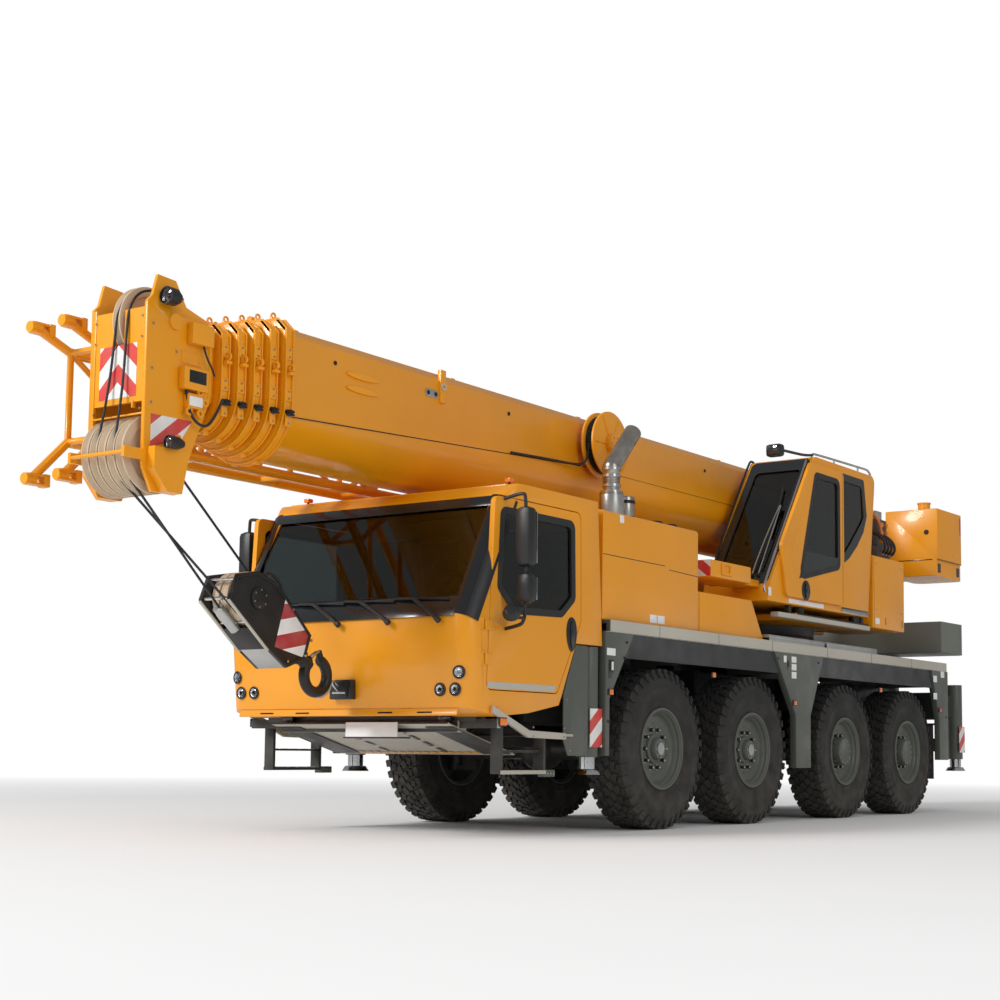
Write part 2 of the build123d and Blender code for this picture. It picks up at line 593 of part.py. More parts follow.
def rear_engine_cover():
    """The low hood behind the tall one, sloped at its rear end, open below."""
    front_x = COVER_STEP_X - PANEL_GAP
    outline = [
        (front_x, DECK_TOP_Z + 0.3), (front_x, COVER_LOW_TOP_Z),
        (COVER_REAR_X + COVER_SLOPE, COVER_LOW_TOP_Z), (COVER_REAR_X, DECK_TOP_Z + 0.3),
    ]
    top = COVER_LOW_TOP_Z - COVER_WALL
    inside = [
        (front_x - COVER_WALL, DECK_TOP_Z), (front_x - COVER_WALL, top),
        (COVER_REAR_X + COVER_SLOPE - 15, top), (COVER_REAR_X + 35, DECK_TOP_Z),
    ]
    hood = side_plate(outline, -COVER_HALF_WIDTH, COVER_HALF_WIDTH)
    return hood - side_plate(inside, -COVER_HALF_WIDTH + COVER_WALL, COVER_HALF_WIDTH - COVER_WALL)


def engine_block():
    """The engine as one plain block, standing on the deck under its hood."""
    return block(560, 1760, -430, 430, DECK_TOP_Z + 0.3, 2450)


EXHAUST_X = 1225
EXHAUST_Y = 850


def exhaust():
    """A silencer stub on the hood and a stack that leans back to its open end."""
    stub = rod((EXHAUST_X, EXHAUST_Y, COVER_TOP_Z + 0.3), (EXHAUST_X, EXHAUST_Y, 2900), 105)
    lower = rod((EXHAUST_X, EXHAUST_Y, 2890), (EXHAUST_X, EXHAUST_Y, 3130), 70)
    knee = Pos(EXHAUST_X, EXHAUST_Y, 3130) * Sphere(78)
    upper = rod((EXHAUST_X, EXHAUST_Y, 3130), (870, EXHAUST_Y, 3500), 78)
    upper -= rod((EXHAUST_X - 177.5, EXHAUST_Y, 3315), (865, EXHAUST_Y, 3505), 70)
    return stub + lower + knee + upper


# ---------------------------------------------------------------- superstructure
CHEEK_OUTLINE = (
    (-1900, PLATFORM_Z), (-2050, 2330), (-3300, 2500), (-4150, 3180), (-4330, 3400), (-4800, 3400),
    (-5050, 3020), (-6230, 2960), (-6230, 2770), (-5150, 2690), (-4450, 2300), (-3800, PLATFORM_Z),
)
TAIL_REAR_X = -6295
TAIL_CORNER = 120


def turntable():
    """The slewing platform: ring, two side cheeks up to the boom's pivot, and the tail arms."""
    ring = rod((SLEW_X, 0, SLEW_SEAM_Z + RUNNING_GAP), (SLEW_X, 0, PLATFORM_Z), SLEW_RING_RADIUS)
    plan = [(-1750, -1180), (-1750, 1180), (-3500, 1180), (-3500, 430), (-3950, 430), (-3950, -1180)]
    floor = floor_plate(plan, PLATFORM_Z - 60, PLATFORM_Z)
    for x in (-1900, -3250):
        for y in (CRANE_CAB_INNER_Y + 90, CRANE_CAB_OUTER_Y - 90):
            floor += rod((x, y, PLATFORM_Z - 5), (x, y, CRANE_CAB_FLOOR_Z - 0.3), 55)
    platform = ring + floor
    for _, side in SIDES:
        y0, y1 = side * CHEEK_INNER_Y, side * (CHEEK_INNER_Y + CHEEK_THICKNESS)
        platform += side_plate(CHEEK_OUTLINE, y0, y1)
    platform += block(-3900, -3780, -CHEEK_INNER_Y - 5, CHEEK_INNER_Y + 5, PLATFORM_Z - 5, 2420)
    platform += block(-6230, -6150, -CHEEK_INNER_Y - 5, CHEEK_INNER_Y + 5, 2770, 2960)
    pin_y = CHEEK_INNER_Y + 70
    pin = rod((BOOM_PIVOT_X, -pin_y, BOOM_PIVOT_Z), (BOOM_PIVOT_X, pin_y, BOOM_PIVOT_Z), PIVOT_PIN_RADIUS)
    platform += pin
    foot = block(RAM_FOOT_X - 90, RAM_FOOT_X + 90, -150, -95, PLATFORM_Z - 5, RAM_FOOT_Z + 80)
    foot += block(RAM_FOOT_X - 90, RAM_FOOT_X + 90, 95, 150, PLATFORM_Z - 5, RAM_FOOT_Z + 80)
    foot += rod((RAM_FOOT_X, -150, RAM_FOOT_Z), (RAM_FOOT_X, 150, RAM_FOOT_Z), RAM_PIN_RADIUS)
    return platform + foot


def side_housings():
    """Left box behind the crane cab, front box, and the long housing on the right."""
    left = block(-3535, -4395, CHEEK_INNER_Y + CHEEK_THICKNESS + 0.3, 1215, PLATFORM_Z - 30, 2830)
    left = fillet(left.edges().filter_by(Axis.X).group_by(Axis.Z)[-1], 30)
    front = block(-725, 60, 760, 1195, 2262, 2420)
    front += block(-1083, -720, 800, 1100, 2262, 2330)
    right = block(-1500, -4395, -CHEEK_INNER_Y - CHEEK_THICKNESS - 0.3, -1195, PLATFORM_Z + 0.3, 2640)
    right = fillet(right.edges().filter_by(Axis.X).group_by(Axis.Z)[-1], 40)
    return [left, front, right]


WEIGHT_FRONT_X = -5425


def rear_counterweight():
    """The two counterweight blocks at the tail, each with a lifting peg, on a cross beam."""
    parts = []
    for _, side in SIDES:
        lower = block(TAIL_REAR_X, WEIGHT_FRONT_X, side * 600, side * 1200, 2775, 2970)
        upper = block(TAIL_REAR_X, WEIGHT_FRONT_X, side * 560, side * 1215, 2969, 3580)
        upper = fillet(upper.edges().filter_by(Axis.Z).sort_by(Axis.X)[:2], TAIL_CORNER)
        lower = fillet(lower.edges().filter_by(Axis.Z).sort_by(Axis.X)[:2], TAIL_CORNER)
        peg = rod((-5860, side * 880, 3579), (-5860, side * 880, 3640), 70)
        tie = block(-6180, -5560, side * (CHEEK_INNER_Y + CHEEK_THICKNESS + 0.3), side * 605, 2800, 2940)
        parts.append(lower + upper + peg + tie)
    return parts


def hoist_winch():
    """The hoist drum between the counterweights, with flanges and its motor housing."""
    x, z = -5700, 3010
    drum = rod((x, -250, z), (x, 250, z), 190)
    for y in (-280, 250):
        drum += rod((x, y, z), (x, y + 30, z), 275)
    drum += rod((x, -CHEEK_INNER_Y + 0.3, z), (x, CHEEK_INNER_Y - 0.3, z), 110)
    return drum


# ---------------------------------------------------------------- crane cab
CRANE_CAB_OUTLINE = (
    (-1045, CRANE_CAB_FLOOR_Z), (-1095, 2300), (-2110, CRANE_CAB_ROOF_Z), (-3635, CRANE_CAB_ROOF_Z),
    (-3420, CRANE_CAB_FLOOR_Z),
)


def crane_cab_body(inset):
    face = make_face(Polyline(*[(x, CRANE_CAB_INNER_Y + inset, z) for x, z in CRANE_CAB_OUTLINE], close=True))
    face = drawn_in(face, inset)
    form = extrude(face, amount=CRANE_CAB_OUTER_Y - CRANE_CAB_INNER_Y - 2 * inset, dir=(0, 1, 0))
    return fillet(form.edges().filter_by(Axis.Y).group_by(Axis.Z)[-1], 90 - inset)


# columns: x, z of the sliding door's corners, drawn round the opening
CRANE_DOOR_OUTLINE = ((-1420, 2230), (-1330, 2700), (-1985, 3580), (-2700, 3580), (-2700, 2230))
CRANE_DOOR_WINDOW = ((-1500, 2640), (-2040, 3480), (-2610, 3480), (-2610, 2620))
REAR_PANE = ((-2785, 2700), (-2785, 3545), (-3300, 3545), (-3345, 3190))
INNER_PANE = ((-1500, 2640), (-2040, 3480), (-3400, 3480), (-3350, 2640))
CRANE_CAB_FRONT_PANE = ((540, 2360), (1150, 2360), (1150, 3600), (540, 3600))


def crane_cab_shell():
    """The operator's cab: front, roof, side and rear windows cut, and the sliding door's opening."""
    shell = crane_cab_body(0) - crane_cab_body(CRANE_CAB_WALL)
    shell -= cross_plate(CRANE_CAB_FRONT_PANE, -2060, -900, 60)
    shell -= side_plate(CRANE_DOOR_OUTLINE, CRANE_CAB_OUTER_Y - 60, CRANE_CAB_OUTER_Y + 20)
    shell -= side_plate(REAR_PANE, CRANE_CAB_OUTER_Y - 60, CRANE_CAB_OUTER_Y + 20, 60)
    shell -= side_plate(INNER_PANE, CRANE_CAB_INNER_Y - 20, CRANE_CAB_INNER_Y + 60, 60)
    return shell


def crane_cab_glass():
    """The front, rear side and inner side panes."""
    layer = crane_cab_body(10) - crane_cab_body(10 + GLASS)
    centre_y = (CRANE_CAB_INNER_Y + CRANE_CAB_OUTER_Y) / 2
    fit = [(y + (1 if y < centre_y else -1), z + (1 if z < 3000 else -1)) for y, z in CRANE_CAB_FRONT_PANE]
    front = layer & cross_plate(fit, -2060, -900, 59)
    rear = extrude(pane_outline(REAR_PANE), amount=GLASS, dir=(0, 1, 0))
    inner = extrude(pane_outline(INNER_PANE), amount=GLASS, dir=(0, 1, 0))
    return [front, Pos(0, CRANE_CAB_OUTER_Y - 20, 0) * rear, Pos(0, CRANE_CAB_INNER_Y + 12, 0) * inner]


def crane_cab_door():
    """The sliding door, hung outside the cab's side wall on a rail, with its window."""
    y0 = CRANE_CAB_OUTER_Y + 0.5
    y1 = y0 + CRANE_DOOR_THICKNESS
    outline = [(-1385, 2200), (-1290, 2705), (-1955, 3615), (-2735, 3615), (-2735, 2200)]
    door = side_plate(outline, y0, y1, 60) - side_plate(CRANE_DOOR_WINDOW, y0 - 5, y1 + 5, 60)
    pane = Pos(0, y0 + 14, 0) * extrude(pane_outline(CRANE_DOOR_WINDOW), amount=GLASS, dir=(0, 1, 0))
    return door, pane


def crane_cab_interior():
    """The operator's seat, consoles and floor."""
    y = (CRANE_CAB_INNER_Y + CRANE_CAB_OUTER_Y) / 2
    floor_z = CRANE_CAB_FLOOR_Z + CRANE_CAB_WALL + 0.3
    seat = block(-2300, -2900, y - 60, y + 60, floor_z, 2500)
    seat += block(-2250, -2800, y - 240, y + 240, 2500, 2620)
    seat += side_plate([(-2740, 2610), (-2860, 2610), (-2980, 3330), (-2870, 3330)], y - 230, y + 230)
    for side in (-1, 1):
        seat += block(-2060, -2620, y + side * 245, y + side * 310, 2640, 2760)
        seat += block(-2560, -2480, y + side * 235, y + side * 275, 2500, 2650)
    return seat


# ---------------------------------------------------------------- boom
def boom_section_face(x, shrink):
    """The boom's cross-section: rounded lower shell, straight sides and bevelled top corners."""
    half = BOOM_WIDTH / 2 - shrink
    top = BOOM_TOP_Z - shrink
    bottom = BOOM_TOP_Z - BOOM_HEIGHT + shrink
    corner = BOOM_CORNER
    belly = bottom + half
    outline = (
        Line((x, -half, belly), (x, -half, top - corner))
        + Line((x, -half, top - corner), (x, -half + corner, top))
        + Line((x, -half + corner, top), (x, half - corner, top))
        + Line((x, half - corner, top), (x, half, top - corner))
        + Line((x, half, top - corner), (x, half, belly))
        + ThreePointArc((x, half, belly), (x, 0, bottom), (x, -half, belly))
    )
    return make_face(outline)


def boom_tube(x0, x1, shrink, plate):
    """A length of boom section with walls of a plate's thickness."""
    outer = extrude(boom_section_face(x0, shrink), amount=x1 - x0, dir=(1, 0, 0))
    return outer - extrude(boom_section_face(x0, shrink + plate), amount=x1 - x0, dir=(1, 0, 0))


def collar(x1, shrink):
    """The ribbed collar at a section's front end; its inside guides the next section."""
    x0 = x1 - COLLAR_LENGTH
    ring = extrude(boom_section_face(x0, shrink - COLLAR_RISE), amount=COLLAR_LENGTH, dir=(1, 0, 0))
    bore = boom_section_face(x0, shrink + BOOM_STEP - SLIDE_FIT)
    return ring - extrude(bore, amount=COLLAR_LENGTH, dir=(1, 0, 0))


def section_rear_x(number):
    """The rear end of a section; the nested ones start ahead of the boom's pivot pin."""
    return BOOM_PIVOT_X + 140 + number * SECTION_REAR_STEP if number else BOOM_REAR_X


def telescopic_section(number):
    """Section 0 is the base; each further one nests inside the one before."""
    shrink = number * BOOM_STEP
    front = BOOM_FRONT_X + number * COLLAR_PITCH
    rear = section_rear_x(number)
    section = boom_tube(rear, front - COLLAR_LENGTH + 1, shrink, BOOM_PLATE) + collar(front, shrink)
    return section + extrude(boom_section_face(rear, shrink), amount=30, dir=(1, 0, 0))


def boom_base():
    """The base section with its pivot boss, ram bracket and the lug on its back."""
    section = telescopic_section(0)
    pivot = (BOOM_PIVOT_X, 0, BOOM_PIVOT_Z)
    half = BOOM_WIDTH / 2 + 12
    section += rod((pivot[0], -half, pivot[2]), (pivot[0], half, pivot[2]), PIVOT_PIN_RADIUS + 55)
    section -= rod((pivot[0], -half, pivot[2]), (pivot[0], half, pivot[2]), PIVOT_PIN_RADIUS + RUNNING_GAP)
    for _, side in SIDES:
        section += block(RAM_EYE_X - 330, RAM_EYE_X + 200, side * 130, side * 190, 2600, 2790)
        eye = rod((RAM_EYE_X, side * 105, RAM_EYE_Z), (RAM_EYE_X, side * 190, RAM_EYE_Z), 105)
        bracket = [(RAM_EYE_X - 105, RAM_EYE_Z), (RAM_EYE_X + 105, RAM_EYE_Z), (RAM_EYE_X + 200, 2700),
                   (RAM_EYE_X - 330, 2700)]
        cheek = side_plate(bracket, side * 130, side * 190)
        section += cheek + eye
    section += block(2960, 3080, -60, 60, BOOM_TOP_Z - 5, BOOM_TOP_Z + 70)
    section += rod((4830, 0, BOOM_TOP_Z + 90), (3020, 0, BOOM_TOP_Z + 45), 26)
    return section


def cable_reel():
    """The cable reel on the boom's left side: two flanges on a hub, carried by a stub."""
    x, z = 775, 3430
    y = BOOM_WIDTH / 2
    reel = rod((x, y + 0.3, z), (x, y + 60, z), 60)
    reel += rod((x, y + 59, z), (x, y + 80, z), 300)
    reel += rod((x, y + 79, z), (x, y + 170, z), 230)
    reel += rod((x, y + 169, z), (x, y + 190, z), 300)
    return reel + rod((x, y + 189, z), (x, y + 240, z), 90)


def head():
    """The last section with the boom head: side plates, front plate and sheave shafts."""
    shrink = SECTION_COUNT * BOOM_STEP
    rear = section_rear_x(SECTION_COUNT)
    back_x = BOOM_FRONT_X + SECTION_COUNT * COLLAR_PITCH
    section = boom_tube(rear, back_x, shrink, BOOM_PLATE)
    section += extrude(boom_section_face(rear, shrink), amount=30, dir=(1, 0, 0))
    plate = extrude(boom_section_face(back_x - 50, shrink - 60), amount=50, dir=(1, 0, 0))
    plate -= extrude(boom_section_face(back_x - 50, shrink + BOOM_PLATE), amount=40, dir=(1, 0, 0))
    section += plate
    outline = [
        (back_x - 10, 2950), (back_x - 10, 3560), (5700, 3620), (5800, 3780), (5960, 3790), (6000, 3640),
        (HEAD_FRONT_X, 3600), (HEAD_FRONT_X, 2480), (5960, 2330), (5750, 2330), (5650, 2560),
    ]
    low_x, low_z, low_radius = LOW_SHEAVE
    keeper_x = low_x + low_radius + 2 * KEEPER_RADIUS + 4
    low_cheek = [
        (low_x - 190, low_z + 30), (low_x + 120, low_z + 30), (low_x + 120, low_z - 120),
        (low_x, low_z - 260), (low_x - 130, low_z - 260),
    ]
    for _, side in SIDES:
        inner, outer = side * (HEAD_HALF_WIDTH - HEAD_PLATE), side * HEAD_HALF_WIDTH
        section += side_plate(outline, inner, outer)
        section += side_plate(low_cheek, side * (HEAD_HALF_WIDTH - 1), side * (HEAD_HALF_WIDTH + 75))
        section += block(HEAD_FRONT_X - 60, keeper_x + KEEPER_RADIUS, inner, outer, low_z - 60, low_z + 10)
    keeper_z = low_z - 25
    keeper_ends = ((keeper_x, -HEAD_HALF_WIDTH, keeper_z), (keeper_x, HEAD_HALF_WIDTH, keeper_z))
    section += rod(*keeper_ends, KEEPER_RADIUS)
    section += block(HEAD_FRONT_X - 30, HEAD_FRONT_X - 4, -251, 251, 2925, 3560)
    section -= block(HEAD_FRONT_X - 40, HEAD_FRONT_X, -52, 52, 3230, 3600)
    section += rod((TOP_SHEAVE[0], -290, TOP_SHEAVE[1]), (TOP_SHEAVE[0], 290, TOP_SHEAVE[1]), 55)
    section += rod((low_x, -300, low_z), (low_x, 300, low_z), 60)
    return section


def head_sheaves():
    """The top sheave and the lower ones on their shafts."""
    top_x, top_z, top_radius = TOP_SHEAVE
    low_x, low_z, low_radius = LOW_SHEAVE
    pieces = [grooved_sheave(top_x, 0, top_z, top_radius, 55 + RUNNING_GAP)]
    for i in range(LOW_SHEAVE_COUNT):
        y = (i - (LOW_SHEAVE_COUNT - 1) / 2) * SHEAVE_PITCH
        pieces.append(grooved_sheave(low_x, y, low_z, low_radius, 60 + RUNNING_GAP))
    return pieces


def grooved_sheave(x, y, z, radius, bore):
    """A sheave with a V-shaped rope groove, turned about its shaft's line."""
    bottom = radius - GROOVE_DEPTH
    half = SHEAVE_HALF_WIDTH
    # columns: radius, offset from the sheave's middle
    profile = [
        (bore, -half), (radius, -half), (radius, -28), (bottom, -10), (bottom, 10), (radius, 28),
        (radius, half), (bore, half),
    ]
    ring = revolve(make_face(Polyline(*[(r, w, 0) for r, w in profile], close=True)), axis=Axis.Y)
    return Pos(x, y, z) * ring


JIB_REAR_X = -2150
JIB_FRONT_X = 5630
JIB_FORK_X = 6000


def lattice_jib():
    """The lattice jib stowed along the boom's right side: four chords, braces and end forks."""
    low, high = 2830, 3480
    y_in, y_out = -640, -980
    corners = [(y_in, low), (y_in, high), (y_out, low), (y_out, high)]
    jib = Part()
    for y, z in corners:
        jib += rod((JIB_REAR_X, y, z), (JIB_FRONT_X, y, z), 38)
    bays = 8
    pitch = (JIB_FRONT_X - JIB_REAR_X) / bays
    for i in range(bays + 1):
        x = JIB_REAR_X + i * pitch
        jib += rod((x, y_in, low), (x, y_out, low), 24) + rod((x, y_in, high), (x, y_out, high), 24)
        jib += rod((x, y_in, low), (x, y_in, high), 24) + rod((x, y_out, low), (x, y_out, high), 24)
    for i in range(bays):
        x0, x1 = JIB_REAR_X + i * pitch, JIB_REAR_X + (i + 1) * pitch
        z0, z1 = (low, high) if i % 2 else (high, low)
        for y in (y_in, y_out):
            jib += rod((x0, y, z0), (x1, y, z1), 22)
    for x in (JIB_REAR_X + pitch, JIB_REAR_X + 4 * pitch, JIB_REAR_X + 7 * pitch):
        jib += block(x - 30, x + 30, -BOOM_WIDTH / 2 - 0.3, y_in, 3300, 3360)
    for z0, z1 in ((low, 2520), (high, 3600)):
        for y in (y_in, y_out):
            jib += rod((JIB_FRONT_X, y, z0), (JIB_FORK_X - 60, y, z1), 32)
            jib += rod((JIB_FORK_X - 90, y, z1), (JIB_FORK_X, y, z1), 40)
    return jib


# ---------------------------------------------------------------- ram
def ram_frame():
    """A plane at the ram's foot whose Z runs along the ram."""
    return Vector(RAM_EYE_X - RAM_FOOT_X, 0, RAM_EYE_Z - RAM_FOOT_Z)


def luff_barrel():
    """The luffing ram's barrel, from its foot eye to the gland."""
    along = ram_frame()
    unit = along.normalized()
    foot = Vector(RAM_FOOT_X, 0, RAM_FOOT_Z)
    start = foot + unit * 130
    end = foot + unit * (along.length - 190)
    barrel = rod(tuple(start), tuple(end), RAM_BARREL_RADIUS)
    barrel -= rod(tuple(start + unit * 60), tuple(end + unit), RAM_ROD_RADIUS + RUNNING_GAP)
    eye = rod((RAM_FOOT_X, -94, RAM_FOOT_Z), (RAM_FOOT_X, 94, RAM_FOOT_Z), 110)
    eye += rod(tuple(foot + unit * 60), tuple(start + unit * 5), 90)
    eye -= rod((RAM_FOOT_X, -94, RAM_FOOT_Z), (RAM_FOOT_X, 94, RAM_FOOT_Z), RAM_PIN_RADIUS + RUNNING_GAP)
    return barrel + eye


def luff_rod():
    """The ram's rod with its eye at the boom's bracket."""
    along = ram_frame()
    unit = along.normalized()
    foot = Vector(RAM_FOOT_X, 0, RAM_FOOT_Z)
    piece = rod(tuple(foot + unit * 260), tuple(foot + unit * (along.length - 80)), RAM_ROD_RADIUS)
    piece += rod((RAM_EYE_X, -92, RAM_EYE_Z), (RAM_EYE_X, 92, RAM_EYE_Z), 98)
    return piece


# ---------------------------------------------------------------- hook block
HOOK_CENTRE = Vector(4035, 0, 1205)
HOOK_LEAN = 37
HOOK_BOWL_RADIUS = 125
HOOK_WIRE_RADIUS = 42
SHANK_RADIUS = 48
SHANK_START = 150
SHANK_END = 620
CHEEK_OUTER_Y = 150
CHEEK_PLATE = 24
BLOCK_SHEAVE = (930, -55, 190)
BLOCK_SHEAVE_YS = (-SHEAVE_PITCH, 0, SHEAVE_PITCH)
# columns: distance along the shank from the hook's middle, distance across it
BLOCK_CHEEK = (
    (1200, -60), (1060, 90), (900, 145), (720, 145), (350, 95), (290, -90), (400, -260), (620, -275),
    (1150, -250),
)
# columns: side of the sheaves (1 in front, -1 behind), y at the head, y at the block, stand-off at the block
HOIST_FALLS = ((1, SHEAVE_PITCH, SHEAVE_PITCH, 0), (1, 2 * SHEAVE_PITCH, 0, 45), (-1, 0, 0, 0))
ROPE_SOCKET_RADIUS = 40


def from_hook(along, across):
    """A point in the hook block's middle plane, along the shank from the hook's middle and across it."""
    return HOOK_CENTRE + Vector(along, 0, across).rotate(Axis.Y, -HOOK_LEAN)


def hoist_falls():
    """The hoist rope's falls between the head's lower sheaves and the block, with the dead end's socket."""
    head_x, head_z, head_radius = LOW_SHEAVE
    along, across, block_radius = BLOCK_SHEAVE
    head_centre = Vector(head_x, 0, head_z)
    block_centre = from_hook(along, across)
    reach = (head_centre - block_centre).normalized()
    forward = Vector(reach.Z, 0, -reach.X)
    falls = []
    for side, head_y, block_y, stand_off in HOIST_FALLS:
        from_head = head_radius - GROOVE_DEPTH + ROPE_RADIUS + 0.8
        top = head_centre + forward * (side * from_head) + Vector(0, head_y, 0)
        low = block_centre + forward * (side * (block_radius - 15 + stand_off)) + Vector(0, block_y, 0)
        falls.append(rod(tuple(low), tuple(top), ROPE_RADIUS))
        if stand_off:
            falls.append(rod(tuple(low - reach * 80), tuple(low + reach * 150), ROPE_SOCKET_RADIUS))
    return falls


def hook_block():
    """The hook block: two cheek plates, three sheaves between them, the cross head, a guard and the falls."""
    outline = [(point.X, point.Z) for point in (from_hook(*corner) for corner in BLOCK_CHEEK)]
    pieces = side_plate(outline, -CHEEK_OUTER_Y, -CHEEK_OUTER_Y + CHEEK_PLATE)
    pieces += side_plate(outline, CHEEK_OUTER_Y - CHEEK_PLATE, CHEEK_OUTER_Y)
    along, across, radius = BLOCK_SHEAVE
    centre = from_hook(along, across)
    for y in BLOCK_SHEAVE_YS:
        pieces += rod((centre.X, y - 34, centre.Z), (centre.X, y + 34, centre.Z), radius)
    pieces += rod((centre.X, -CHEEK_OUTER_Y, centre.Z), (centre.X, CHEEK_OUTER_Y, centre.Z), 60)
    cross_head = [(640, -95), (640, 75), (360, 75), (360, -95)]
    guard = [(640, -275), (640, -235), (420, -220), (400, -260)]
    for corners in (cross_head, guard):
        corners = [(point.X, point.Z) for point in (from_hook(*corner) for corner in corners)]
        pieces += side_plate(corners, -CHEEK_OUTER_Y + 1, CHEEK_OUTER_Y - 1)
    for fall in hoist_falls():
        pieces += fall
    bore_start, bore_end = from_hook(SHANK_START, 0), from_hook(SHANK_END, 0)
    return pieces - rod(tuple(bore_start), tuple(bore_end), SHANK_RADIUS + RUNNING_GAP)


def hook():
    """The hook with its shank, lying back towards the cab, open at its top."""
    shank = rod(tuple(from_hook(HOOK_BOWL_RADIUS - 20, 0)), tuple(from_hook(SHANK_END - 1, 0)), SHANK_RADIUS)
    centre_plane = Plane(origin=HOOK_CENTRE, x_dir=(1, 0, 0), z_dir=(0, 1, 0))
    bowl = centre_plane * Torus(HOOK_BOWL_RADIUS, HOOK_WIRE_RADIUS)
    mouth = block(HOOK_CENTRE.X - 40, HOOK_CENTRE.X + 78, -60, 60, HOOK_CENTRE.Z + 40, HOOK_CENTRE.Z + 200)
    tip = rod((HOOK_CENTRE.X - 70, 0, HOOK_CENTRE.Z + 95), (HOOK_CENTRE.X - 25, 0, HOOK_CENTRE.Z + 185), 26)
    return shank + (bowl - mouth) + tip


os.makedirs("parts", exist_ok=True)
save("carrier_frame", carrier_frame())
save("deck_and_fenders", deck_and_fenders())
save("axles_and_driveline", *[axle(x) for x in AXLE_XS], driveline())
save("deck_counterweight", deck_slab())
save("rear_beam", rear_beam())
save("driver_cab_shell", cab_shell())
save("driver_cab_glass", *cab_glass())
save("driver_cab_interior", cab_interior())
save("front_gear", front_gear())
save("engine_cover", engine_cover())
save("rear_engine_cover", rear_engine_cover())
save("engine_block", engine_block())
save("exhaust", exhaust())
for label, side in SIDES:
    save(f"driver_door_{label}", *side_door(side))
for number, axle_x in enumerate(AXLE_XS, 1):
    for label, side in SIDES:
        save(f"wheel_{number}_{label}", tyre(axle_x, side), rim(axle_x, side, number > 2))
        save(f"knuckle_{number}_{label}", knuckle(axle_x, side))
for row, row_x in OUTRIGGER_ROWS:
    for label, side in SIDES:
        save(f"outrigger_beam_{row}_{label}", outrigger_beam(row_x, side))
        save(f"outrigger_jack_{row}_{label}", outrigger_jack(row_x, side))
save("turntable", turntable())
save("side_housings", *side_housings())
save("rear_counterweight", *rear_counterweight())
save("hoist_winch", hoist_winch())
save("crane_cab_shell", crane_cab_shell())
save("crane_cab_glass", *crane_cab_glass())
save("crane_cab_door", *crane_cab_door())
save("crane_cab_interior", crane_cab_interior())
save("boom_base", boom_base())
for number in range(1, SECTION_COUNT):
    save(f"boom_section_{number}", telescopic_section(number))
save("boom_head", head())
save("head_sheaves", *head_sheaves())
save("cable_reel", cable_reel())
save("lattice_jib", lattice_jib())
save("luff_barrel", luff_barrel())
save("luff_rod", luff_rod())
save("hook_block", hook_block())
save("hook", hook())
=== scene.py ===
import json
import math

import bmesh
import bpy
from mathutils import Matrix, Vector


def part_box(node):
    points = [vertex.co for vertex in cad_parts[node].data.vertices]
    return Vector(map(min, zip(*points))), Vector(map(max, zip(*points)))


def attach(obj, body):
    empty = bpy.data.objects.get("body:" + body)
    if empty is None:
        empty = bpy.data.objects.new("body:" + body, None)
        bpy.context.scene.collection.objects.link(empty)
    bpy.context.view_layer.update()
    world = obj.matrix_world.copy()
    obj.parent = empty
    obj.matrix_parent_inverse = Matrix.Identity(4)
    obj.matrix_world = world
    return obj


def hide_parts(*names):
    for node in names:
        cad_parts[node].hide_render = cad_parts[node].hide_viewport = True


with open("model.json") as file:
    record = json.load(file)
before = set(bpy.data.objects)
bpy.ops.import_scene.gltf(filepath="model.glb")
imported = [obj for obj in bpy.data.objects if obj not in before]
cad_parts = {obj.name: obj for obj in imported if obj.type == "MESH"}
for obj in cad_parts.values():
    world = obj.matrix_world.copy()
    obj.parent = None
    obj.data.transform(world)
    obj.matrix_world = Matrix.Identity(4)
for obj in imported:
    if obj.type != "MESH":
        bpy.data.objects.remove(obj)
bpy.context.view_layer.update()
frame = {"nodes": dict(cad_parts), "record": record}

# The looks of a four-axle mobile crane in travel order. +X is forward, +Y left, +Z up, in metres.
BODY_OF = {node: body for body, nodes in frame["record"]["behaviour"]["bodies"].items() for node in nodes}
SIDES = (("left", 1), ("right", -1))
BOTH = (1, -1)
ROWS = ("front", "rear")
AHEAD = (1, 0, 0)
LEFTWARD = (0, 1, 0)
UPWARD = (0, 0, 1)


# ---------------------------------------------------------------- finishes
class Tree:
    """A node tree under construction."""

    def __init__(self, owner):
        owner.use_nodes = True
        self.owner = owner
        self.nodes, self.links = owner.node_tree.nodes, owner.node_tree.links

    def feed(self, node, inputs):
        """Fills inputs, by name or number, with numbers, colours or the outputs of other nodes."""
        for key, value in inputs.items():
            if isinstance(value, bpy.types.NodeSocket):
                self.links.new(value, node.inputs[key])
            else:
                node.inputs[key].default_value = value if isinstance(value, (int, float)) else (*value, 1.0)

    def node(self, kind, output, inputs=None, **settings):
        """Makes a node and gives back one of its outputs."""
        made = self.nodes.new("ShaderNode" + kind)
        for setting, value in settings.items():
            setattr(made, setting, value)
        self.feed(made, inputs or {})
        return made.outputs[output]

    def maths(self, operation, *values):
        return self.node("Math", "Value", dict(enumerate(values)), operation=operation)

    def ranged(self, value, low, high, from_low=0.3, from_high=0.7):
        spread = {"Value": value, "From Min": from_low, "From Max": from_high, "To Min": low, "To Max": high}
        return self.node("MapRange", "Result", spread)

    def mixed(self, share, first, second):
        return self.node("Mix", 2, {0: share, 6: first, 7: second}, data_type="RGBA")


